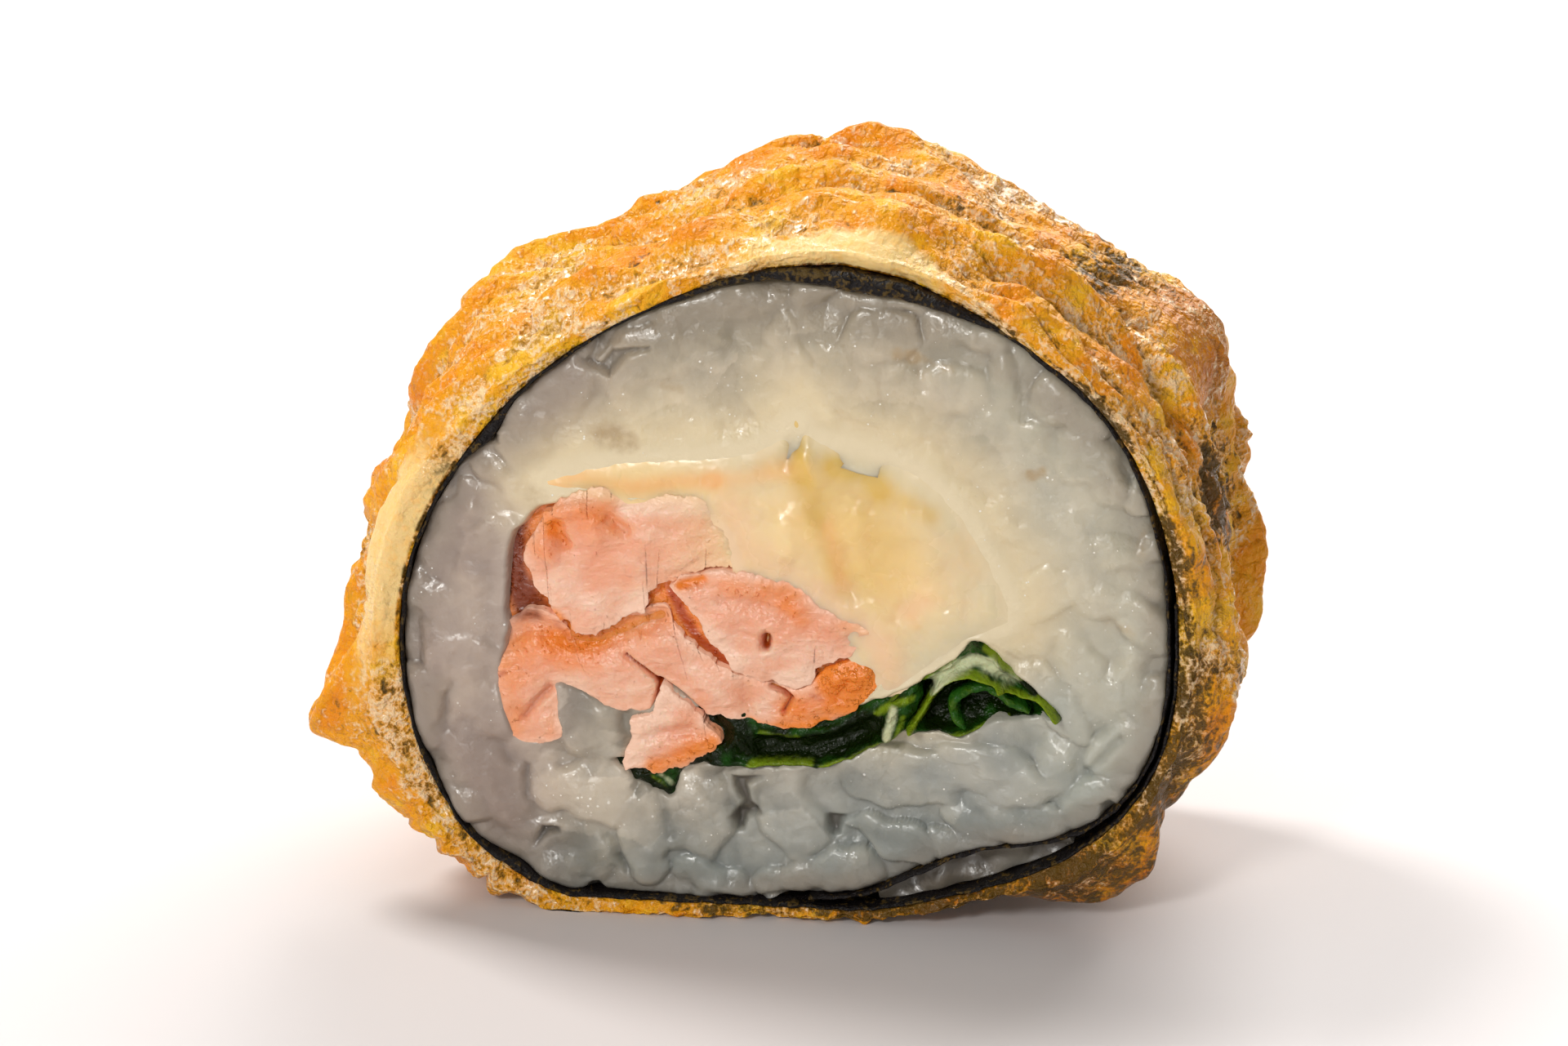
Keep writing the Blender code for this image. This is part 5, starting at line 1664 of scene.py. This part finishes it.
@dataclass
class Rice:
    """Packed rice: grains cut flat by the knife, melted together above and distinct below."""

    place: Place
    seaweed: Seaweed
    under: tuple[tuple[Array, float], ...]
    cells: int = 300
    back_cells: int = 190
    far: float = 6.0
    skip: int = 3
    spacing: float = 3.1
    long: float = 6.8
    wide: float = 3.6
    seed: int = 23
    # Large grains that stand out on the front cut: x, z, heading in degrees, length, width, level, tone
    named: Rows = (
        (-20.6, -11.1, -56.0, 10.0, 5.0, -0.3, 0.15),
        (-20.2, -6.6, -40.0, 6.0, 4.6, -0.1, 0.45),
        (-13.8, -12.2, -6.0, 7.6, 4.6, 0.2, 0.75),
        (-13.0, -7.9, -60.0, 5.8, 4.6, 0.1, 0.7),
        (-14.2, -15.8, -30.0, 5.0, 3.6, -0.5, 0.25),
        (-10.1, -15.1, 84.0, 7.4, 3.1, -0.1, 0.5),
        (-6.2, -13.0, 82.0, 6.8, 4.6, 0.1, 0.6),
        (-6.0, -17.4, -8.0, 6.0, 2.6, -0.5, 0.2),
        (-0.1, -12.9, 104.0, 7.2, 5.0, 0.1, 0.6),
        (-0.1, -17.4, 5.0, 6.4, 2.6, -0.5, 0.3),
        (6.2, -14.1, -25.0, 6.4, 2.9, 0.0, 0.3),
        (6.7, -9.8, -8.0, 9.4, 4.0, 0.1, 0.45),
        (3.4, -16.6, 20.0, 5.0, 3.0, -0.4, 0.3),
        (13.2, -12.6, -12.0, 8.0, 3.6, 0.0, 0.3),
        (12.8, -9.2, -10.0, 9.0, 3.8, 0.1, 0.7),
        (19.4, -11.4, 24.0, 6.4, 3.6, -0.1, 0.25),
        (21.4, -6.8, 62.0, 6.4, 4.6, 0.0, 0.4),
        (-9.4, 17.9, 14.0, 8.6, 4.6, 0.1, 0.7),
        (-15.2, 15.2, 48.0, 7.0, 4.0, -0.1, 0.45),
    )
    # Hollows between the grains of the front cut: how deep, how dark their painted shade is, and the outline
    holes: tuple[tuple[float, float, Row], ...] = (
        (
            0.8, 0.8,
            (
                -4.6, -10.1, -1.9, -10.1, -3.0, -11.0, -2.9, -12.0, -2.1, -12.9, -3.2, -13.5, -3.5, -14.5,
                -4.2, -14.6, -4.8, -13.2, -3.9, -12.0, -4.4, -11.0,
            ),
        ),
        (0.7, 0.75, (-17.2, -14.4, -15.6, -14.4, -15.4, -15.1, -16.4, -15.4, -17.9, -16.5, -17.7, -15.6)),
        (0.4, 0.35, (-18.1, -9.9, -17.4, -10.2, -17.3, -11.8, -17.8, -13.2, -18.3, -12.4, -18.4, -11.0)),
        (0.7, 0.7, (1.6, -12.5, 3.5, -12.5, 3.1, -13.3, 2.9, -14.3, 2.1, -14.5, 1.7, -13.6)),
        (
            0.7, 0.45,
            (
                -12.9, 17.9, -12.2, 18.8, -9.4, 19.0, -9.2, 18.4, -10.8, 18.0, -11.4, 17.3, -12.0, 16.5,
                -13.3, 17.1, -14.5, 17.9,
            ),
        ),
        (0.7, 0.6, (-19.8, 12.7, -19.2, 12.4, -19.3, 11.7, -20.1, 11.5, -20.4, 12.2)),
        (0.6, 0.5, (19.3, -10.9, 20.2, -10.2, 20.6, -10.6, 21.6, -12.1, 20.4, -13.1, 19.4, -12.0)),
        (1.4, 1.3, (4.1, -14.8, 4.5, -14.5, 4.8, -14.8, 4.5, -15.2)),
        (0.9, 1.3, (-14.4, -18.9, -13.8, -18.2, -13.1, -18.1, -12.3, -19.0, -13.0, -19.6)),
        (0.9, 1.3, (-3.0, -18.3, -2.3, -18.8, -1.5, -19.4, -3.1, -19.5)),
        (0.9, 1.3, (-10.3, -19.3, -9.2, -18.9, -8.6, -19.4, -9.6, -19.6)),
    )
    # Shading that the lie of the grains gives the front cut: dark or light, then taupe
    shades: Rows = (
        (1.1, -0.5, -17.2, -15.8, -14.6, -15.8, -13.6, -17.2),
        (1.0, -0.6, -8.0, -17.8, -5.4, -17.6, -3.4, -18.0), (0.9, -0.4, -2.0, -17.6, 0.4, -18.2),
        (1.0, -0.3, 0.8, -9.6, 3.0, -10.2), (0.8, -0.55, 3.6, -13.9, 6.6, -14.6, 8.2, -14.8),
        (0.7, -0.4, 10.6, -10.8, 11.6, -12.0), (1.0, -0.4, 15.0, -12.0, 18.6, -12.4, 21.0, -11.5),
        (0.9, -0.3, -22.6, 6.5, -21.8, 8.0), (1.3, -0.45, -20.4, -9.4, -19.0, -12.6, -19.4, -15.0),
        (0.4, -0.4, -9.0, -11.8, -8.4, -14.5), (0.25, -0.7, -11.6, -16.4, -11.3, -17.4),
        (0.3, -0.6, 18.8, -8.8, 20.0, -7.4, 20.9, -6.3), (0.5, -0.5, -11.3, -6.5, -11.3, -8.2),
        (1.4, 0.35, -16.5, -10.2, -14.6, -11.6, -12.6, -13.2), (1.3, 0.25, -7.6, -11.0, -6.0, -12.2),
        (1.6, 0.4, 11.5, -9.6, 13.5, -10.8, 15.6, -9.2, 17.5, -8.0), (1.0, 0.25, -21.5, 2.0, -20.8, -2.0),
        (1.2, 0.25, -0.6, -11.0, 0.6, -12.6),
    )
    tans: Rows = (
        (1.3, 0.8, -12.6, 12.9, -11.2, 12.4), (0.6, 0.6, -8.6, 16.2, -7.6, 16.0),
        (1.2, 0.6, -17.0, 8.5, -16.5, 7.0), (0.7, 0.75, 6.4, 19.1, 7.3, 18.9),
        (0.4, 0.55, 7.4, 18.9, 9.8, 18.2), (0.55, 0.7, 15.7, 11.6, 15.1, 11.3),
        (0.8, 0.4, 14.6, 11.1, 13.0, 10.2), (1.6, 0.3, 4.0, 13.9), (1.2, 0.3, 13.0, 14.0),
        (1.0, 0.5, 21.5, 1.0, 20.0, 1.5), (0.8, 0.5, 22.3, 8.0, 22.0, 6.0),
        (0.3, 0.6, 12.5, -0.2, 14.5, -1.4),
    )

    def border(self, angle: Array) -> Array:
        """How far from the axis the rice ends at each angle."""
        turn = np.linspace(0.0, 1.0, 2000, endpoint=False)
        line = OUTLINE.moved(turn, -self.seaweed.inside(turn) - 0.06)
        bearing = np.arctan2(line[:, 1], line[:, 0])
        order = np.argsort(bearing)
        return np.interp(angle, bearing[order], np.hypot(line[:, 0], line[:, 1])[order], period=2.0 * np.pi)

    def disc(self, cells: int) -> tuple[Array, Array, Array]:
        """A square grid bent to the rice's outline, ring by ring.

        Args:
            cells: points along each side.

        Returns:
            x, z and the distance in from the border, each cells by cells.
        """
        across, up = np.meshgrid(np.linspace(-1.0, 1.0, cells), np.linspace(-1.0, 1.0, cells))
        wide = np.abs(across) > np.abs(up)
        reach = np.where(wide, across, up)
        with np.errstate(divide="ignore", invalid="ignore"):
            bearing = np.where(wide, 0.25 * np.pi * up / across, 0.5 * np.pi - 0.25 * np.pi * across / up)
        x, z = reach * np.cos(bearing), reach * np.sin(bearing)
        limit = self.border(np.arctan2(z, x))
        return x * limit, z * limit, (1.0 - np.hypot(x, z)) * limit

    def grains(self, seed: int, named: bool) -> Array:
        """Where grains lie on one cut: a jittered lattice of random headings, sizes, levels and tones.

        Args:
            seed: which draw. named: whether the large grains of the front cut come first.

        Returns:
            One row for each grain, as in named.
        """
        draw = np.random.default_rng(seed)
        lattice = np.mgrid[-27.0:27.0:self.spacing, -27.0:27.0:self.spacing].reshape(2, -1).T
        spots = lattice + draw.uniform(-0.5, 0.5, lattice.shape) * self.spacing
        count = len(spots)
        rows = np.column_stack(
            [
                spots,
                draw.uniform(0.0, 180.0, count),
                self.long * draw.uniform(0.7, 1.15, count),
                self.wide * draw.uniform(0.75, 1.15, count),
                draw.uniform(-1.5, 0.1, count),
                draw.uniform(0.0, 1.0, count),
            ]
        )
        if not named:
            return rows
        listed = np.asarray(self.named)
        clear = np.hypot(*(rows[:, None, :2] - listed[None, :, :2]).transpose(2, 0, 1)).min(axis=1) > 2.4
        return np.vstack([listed, rows[clear]])

    def heap(self, x: Array, z: Array, rows: Array, soft: Array) -> tuple[Array, Array]:
        """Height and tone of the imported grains: each is half an ellipsoid, and they are joined by a
        smooth maximum, the logarithm of a sum of exponentials, over a floor that rises where soft.

        Args:
            x: where to read. z: where to read. rows: the grains. soft: 0 distinct to 1 melted together.

        Returns:
            The height and the tone.
        """
        sharp = 4.5
        floor = -0.9 + 0.7 * soft
        total = np.exp(sharp * floor)
        tone = 0.35 * total
        for a, b, heading, length, width, level, shade in rows:
            near = np.hypot(x - a, z - b) < 0.55 * length
            turned = math.radians(heading)
            dx, dz = x[near] - a, z[near] - b
            u = (math.cos(turned) * dx + math.sin(turned) * dz) / (0.5 * length)
            v = (math.cos(turned) * dz - math.sin(turned) * dx + 0.12 * width * (u**2 - 0.4)) / (0.5 * width)
            round_it = np.clip(1.0 - u**2 - v**2, 0.0, 1.0)
            height = level + 0.42 * width * (round_it**0.5 - 1.0) + 0.5
            weight = np.where(round_it > 0.0, np.exp(sharp * height), 0.0)
            total[near] += weight
            tone[near] += weight * shade
        return np.log(total) / sharp, tone / total

    def shards(self, x: Array, z: Array, size: float, seed: int) -> tuple[Array, Array]:
        """Height and tone of a broken surface: each point takes the plane of its nearest seed point.

        Args:
            x: where to read. z: where to read. size: how far apart the seed points are.
            seed: which draw.

        Returns:
            The height, of planes that each lean their own way, and the tone, about 0 to 1, sliding
            across each plane.
        """
        draw = np.random.default_rng(seed)
        lattice = np.mgrid[-30.0:30.0:size, -30.0:30.0:size].reshape(2, -1).T
        seeds = lattice + draw.uniform(-0.5, 0.5, lattice.shape) * size
        lean = draw.uniform(-1.0, 1.0, seeds.shape)
        level, shade = draw.uniform(-1.0, 1.0, len(seeds)), draw.random(len(seeds))
        nearest = np.concatenate(
            [
                ((part[:, None, :] - seeds[None]) ** 2).sum(axis=2).argmin(axis=1)
                for part in np.array_split(np.column_stack([np.ravel(x), np.ravel(z)]), 24)
            ]
        ).reshape(x.shape)
        offset = lean[nearest, 0] * (x - seeds[nearest, 0]) + lean[nearest, 1] * (z - seeds[nearest, 1])
        return 0.5 * level[nearest] + offset / size, shade[nearest] + 0.4 * offset / size

    def face(self, cells: int, side: Side) -> tuple[Array, dict[str, Array]]:
        """One cut of the rice: the heap cut flat by the knife, sunk under the fillings and at its pits.

        Args:
            cells: points along each side of the grid. side: which cut.

        Returns:
            The points, and the marks for the finish.
        """
        x, z, inwards = self.disc(cells)
        front = side is Side.FRONT
        shift = 0.0 if front else 30.0
        above = smooth(-9.0, 4.0, z - 0.25 * x)
        soft = np.clip(0.15 + 0.75 * above + 0.35 * drift(x * 0.16 + shift, z * 0.16, 24, 2), 0.0, 1.0)
        soft = soft * smooth(0.0, 5.0, inwards)
        rows = self.grains(self.seed if front else self.seed + 1, front)
        bent = [0.8 * drift(x * 0.3 + shift + 9.0 * i, z * 0.3, 27 + 4 * i, 2) for i in (0, 1)]
        height, tone = self.heap(x + bent[0], z + bent[1], rows, soft)
        shard, shade = self.shards(x + bent[1], z + 0.8 * bent[0], 3.3, 61 if front else 62)
        chip, fleck = self.shards(x - 0.6 * bent[1], z + 0.6 * bent[0], 1.5, 63 if front else 64)
        flat = 4.0
        height = -np.log1p(np.exp(-flat * (height + 0.1))) / flat
        height = height + (0.02 + 0.05 * (1.0 - soft)) * shard + 0.03 * chip
        tone = (0.28 - 0.05 * soft) * shade + (0.6 - 0.25 * soft) * tone + 0.12 * fleck + 0.02 + 0.15 * soft
        height = height + 0.09 * drift(x * 0.45 + shift, z * 0.45, 25, 3)
        height = height + 0.25 * drift(x * 0.12 + shift, z * 0.12, 26, 2)
        # Painted shade: the low places between the grains darken.
        gap = 0.6 * smooth(-0.75, -1.2, height)
        taupe = np.zeros_like(x)
        if front:
            shading = painted(x, z, self.shades)
            for deep, dark, loop in self.holes:
                hole = within(x + 0.25 * bent[0], z + 0.25 * bent[1], loop, 0.55)
                height = height - deep * hole
                gap = np.maximum(gap, dark * hole)
            height, tone = height + 0.5 * shading, tone + 0.7 * shading
            taupe = painted(x, z, self.tans)
        below, sunk, melted = (np.full(x.shape, self.far) for _ in range(3))
        for line, inset in self.under:
            near = in_box(x, z, line, self.far)
            reach = edge_distance(x[near], z[near], line[:: self.skip])
            sunk[near] = np.minimum(sunk[near], reach + inset)
            if inset > 0.0:
                melted[near] = reach
            else:
                below[near] = np.minimum(below[near], reach)
        level = smooth(2.2, 0.2, np.abs(melted))
        height = height + level * (-0.1 - height) + 0.15 * np.exp(-np.abs(below) / 0.6)
        height = height - 2.6 * smooth(0.0, -0.9, sunk) - 0.25 * np.exp(-inwards / 0.3)
        out = 0.5 * SLICE - 0.2 + height
        # Painted shade: a band inside the seaweed, wider at the top; it also darkens the grain tone.
        ring = smooth(4.5 + 3.0 * smooth(6.0, 14.0, z), 0.0, inwards)
        mild = 0.25 * smooth(-8.0, 6.0, z + 0.2 * x) * smooth(-19.0, -10.0, x)
        marks = {
            "grain": tone + 0.06 * above - 0.35 * ring,
            "gap": gap,
            "warm": smooth(6.0, -0.5, melted) + mild,
            "cool": smooth(-4.0, -15.0, z - 0.5 * x),
            "fresh": smooth(10.0, 18.0, x + 0.2 * z),
            "mauve": smooth(-11.0, -18.0, x - 0.15 * z),
            "taupe": taupe,
            "ring": ring,
            "border": smooth(1.2, 0.2, np.minimum(np.abs(below), np.abs(melted))),
        }
        return np.stack([x, side.value * out, z], axis=-1), marks

    def build(self) -> list[bpy.types.Object]:
        """Makes the rice in two halves, one behind each cut.

        Returns:
            The pieces.
        """
        made = []
        finish = RiceFinish("cooked rice")
        halves = (("rice_front", self.cells, Side.FRONT), ("rice_back", self.back_cells, Side.BACK))
        for name, cells, side in halves:
            points, marks = self.face(cells, side)
            made.append(new_piece(name, one_cut(points, 0.0), marks, finish, self.place, "rice"))
        return made


@dataclass
class OverlapRice:
    """The rice caught where the sheet's inner end lies slack over its outer end."""

    place: Place
    seaweed: Seaweed

    def build(self) -> bpy.types.Object:
        """Fills the gap between the two layers with a lumpy body that stands back from the cut."""
        middle, spread = self.seaweed.slack_middle, self.seaweed.slack_spread
        turn = np.linspace(middle - spread, middle + spread, 120)
        outer = OUTLINE.moved(turn, -self.seaweed.thick - 0.1)
        inner = OUTLINE.moved(turn, -self.seaweed.depth(turn) + 0.05)
        share = np.linspace(0.0, 1.0, 30)[:, None, None]
        plane = outer[None] + (inner - outer)[None] * share
        x, z = plane[..., 0], plane[..., 1]
        cuts = []
        for side in Side:
            lumps = drift(x * 0.3 + 9.0 * side.value, z * 0.4, 101, 2)
            cuts.append(np.stack([x, side.value * (0.5 * SLICE - 1.8 + 0.5 * lumps), z], axis=-1))
        count = 2 * x.size
        # Painted shade: the rice caught between the layers is darkened and greyed all over, a little less
        # round x = 13.9.
        dark = 0.8 - 0.45 * bell(x, 13.9, 1.4)
        marks = {"gap": np.tile(dark.ravel(), 2), "cool": np.full(count, 0.8), "ring": np.full(count, 1.0)}
        shape, finish = between_cuts(*cuts), RiceFinish("cooked rice")
        return new_piece("rice_between_layers", shape, marks, finish, self.place, "rice_in_overlap")


@dataclass(frozen=True)
class Lamp:
    """A soft square light: where it stands from the slice, its side and its power."""

    name: str
    seat: tuple[float, float, float]
    side: float
    power: float
    tint: Colour = (1.0, 1.0, 1.0)


@dataclass
class Studio:
    """The pale table, the soft lights and the camera."""

    place: Place
    azimuth: float = 8.0
    elevation: float = 19.5
    distance: float = 544.0
    lens: float = 194.25
    film: float = 36.0
    aim_right: float = -0.84
    aim_up: float = 7.07
    table: float = 6.0
    lamps: tuple[Lamp, ...] = (
        Lamp("key", (-0.5, 0.35, 0.8), 0.3, 8.0, (1.0, 0.98, 0.95)),
        Lamp("back", (0.15, 0.6, 0.45), 0.5, 5.0, (1.0, 0.98, 0.96)),
        Lamp("front", (-0.3, -0.85, 0.55), 0.2, 4.5, (1.0, 0.98, 0.95)),
        Lamp("sparkle", (-0.15, -1.0, 0.22), 0.15, 1.5, (1.0, 0.99, 0.97)),
    )

    def aim(self, thing: bpy.types.Object, seat: Array, target: Array) -> None:
        """Stands a lamp or the camera at seat, looking at target along its own -Z."""
        thing.location = seat.tolist()
        thing.rotation_euler = Vector((target - seat).tolist()).to_track_quat("-Z", "Y").to_euler()

    def build(self) -> None:
        """Makes the table, lights, world and camera."""
        scene = bpy.context.scene
        half = 0.5 * self.table
        mesh = bpy.data.meshes.new("table")
        corners = [(-half, -half, 0.0), (half, -half, 0.0), (half, half, 0.0), (-half, half, 0.0)]
        mesh.from_pydata(corners, [], [(0, 1, 2, 3)])
        mesh.materials.append(TableFinish("pale table").material())
        table = bpy.data.objects.new("table", mesh)
        scene.collection.objects.link(table)
        middle = np.array([0.0, 0.0, 0.02])
        for lamp in self.lamps:
            light = bpy.data.lights.new(lamp.name, "AREA")
            light.size = lamp.side
            light.energy = lamp.power
            light.color = lamp.tint
            made = bpy.data.objects.new(lamp.name, light)
            scene.collection.objects.link(made)
            self.aim(made, np.array(lamp.seat), middle)
        world = bpy.data.worlds.new("soft room")
        world.use_nodes = True
        world.node_tree.nodes["Background"].inputs["Color"].default_value = (1.0, 0.99, 0.98, 1.0)
        world.node_tree.nodes["Background"].inputs["Strength"].default_value = 0.3
        scene.world = world
        scene.view_settings.view_transform = "Standard"
        scene.camera = self.camera()

    def camera(self) -> bpy.types.Object:
        """The camera at the photograph's angle, framing the slice as there."""
        turned, raised = math.radians(self.azimuth), math.radians(self.elevation)
        forward = np.array(
            [-math.sin(turned) * math.cos(raised), math.cos(turned) * math.cos(raised), -math.sin(raised)]
        )
        right = np.array([math.cos(turned), math.sin(turned), 0.0])
        up = np.cross(right, forward)
        cut = np.array([self.place.x, self.place.y - 0.5 * SLICE, self.place.z])
        target = cut + right * self.aim_right + up * self.aim_up
        lens = bpy.data.cameras.new("camera")
        lens.lens = self.lens
        lens.sensor_width = self.film
        lens.sensor_fit = "HORIZONTAL"
        made = bpy.data.objects.new("camera", lens)
        bpy.context.scene.collection.objects.link(made)
        self.aim(made, (target - forward * self.distance) * MM, target * MM)
        return made


def main() -> None:
    """Builds the slice piece by piece, then the studio."""
    logging.basicConfig(level=logging.INFO, format="%(message)s")
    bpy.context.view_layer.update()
    place = Place.of_frame()
    LOG.info("axis at %.2f, %.2f, %.2f mm", place.x, place.y, place.z)
    Studio(place).build()
    Crust(place).build()
    seaweed = Seaweed(place)
    seaweed.build()
    salmon, cheese, leaves = Salmon(place), Cheese(place), Leaves(place)
    salmon.build()
    cheese.build()
    leaves.build()
    crisp = (salmon.upper, salmon.right, salmon.lower, salmon.flake, salmon.behind, leaves.strip, leaves.fold)
    under = tuple((part.loop(), 0.0) for part in crisp) + ((cheese.part.loop(), 1.6),)
    Rice(place, seaweed, under).build()
    OverlapRice(place, seaweed).build()


if __name__ == "__main__":
    main()
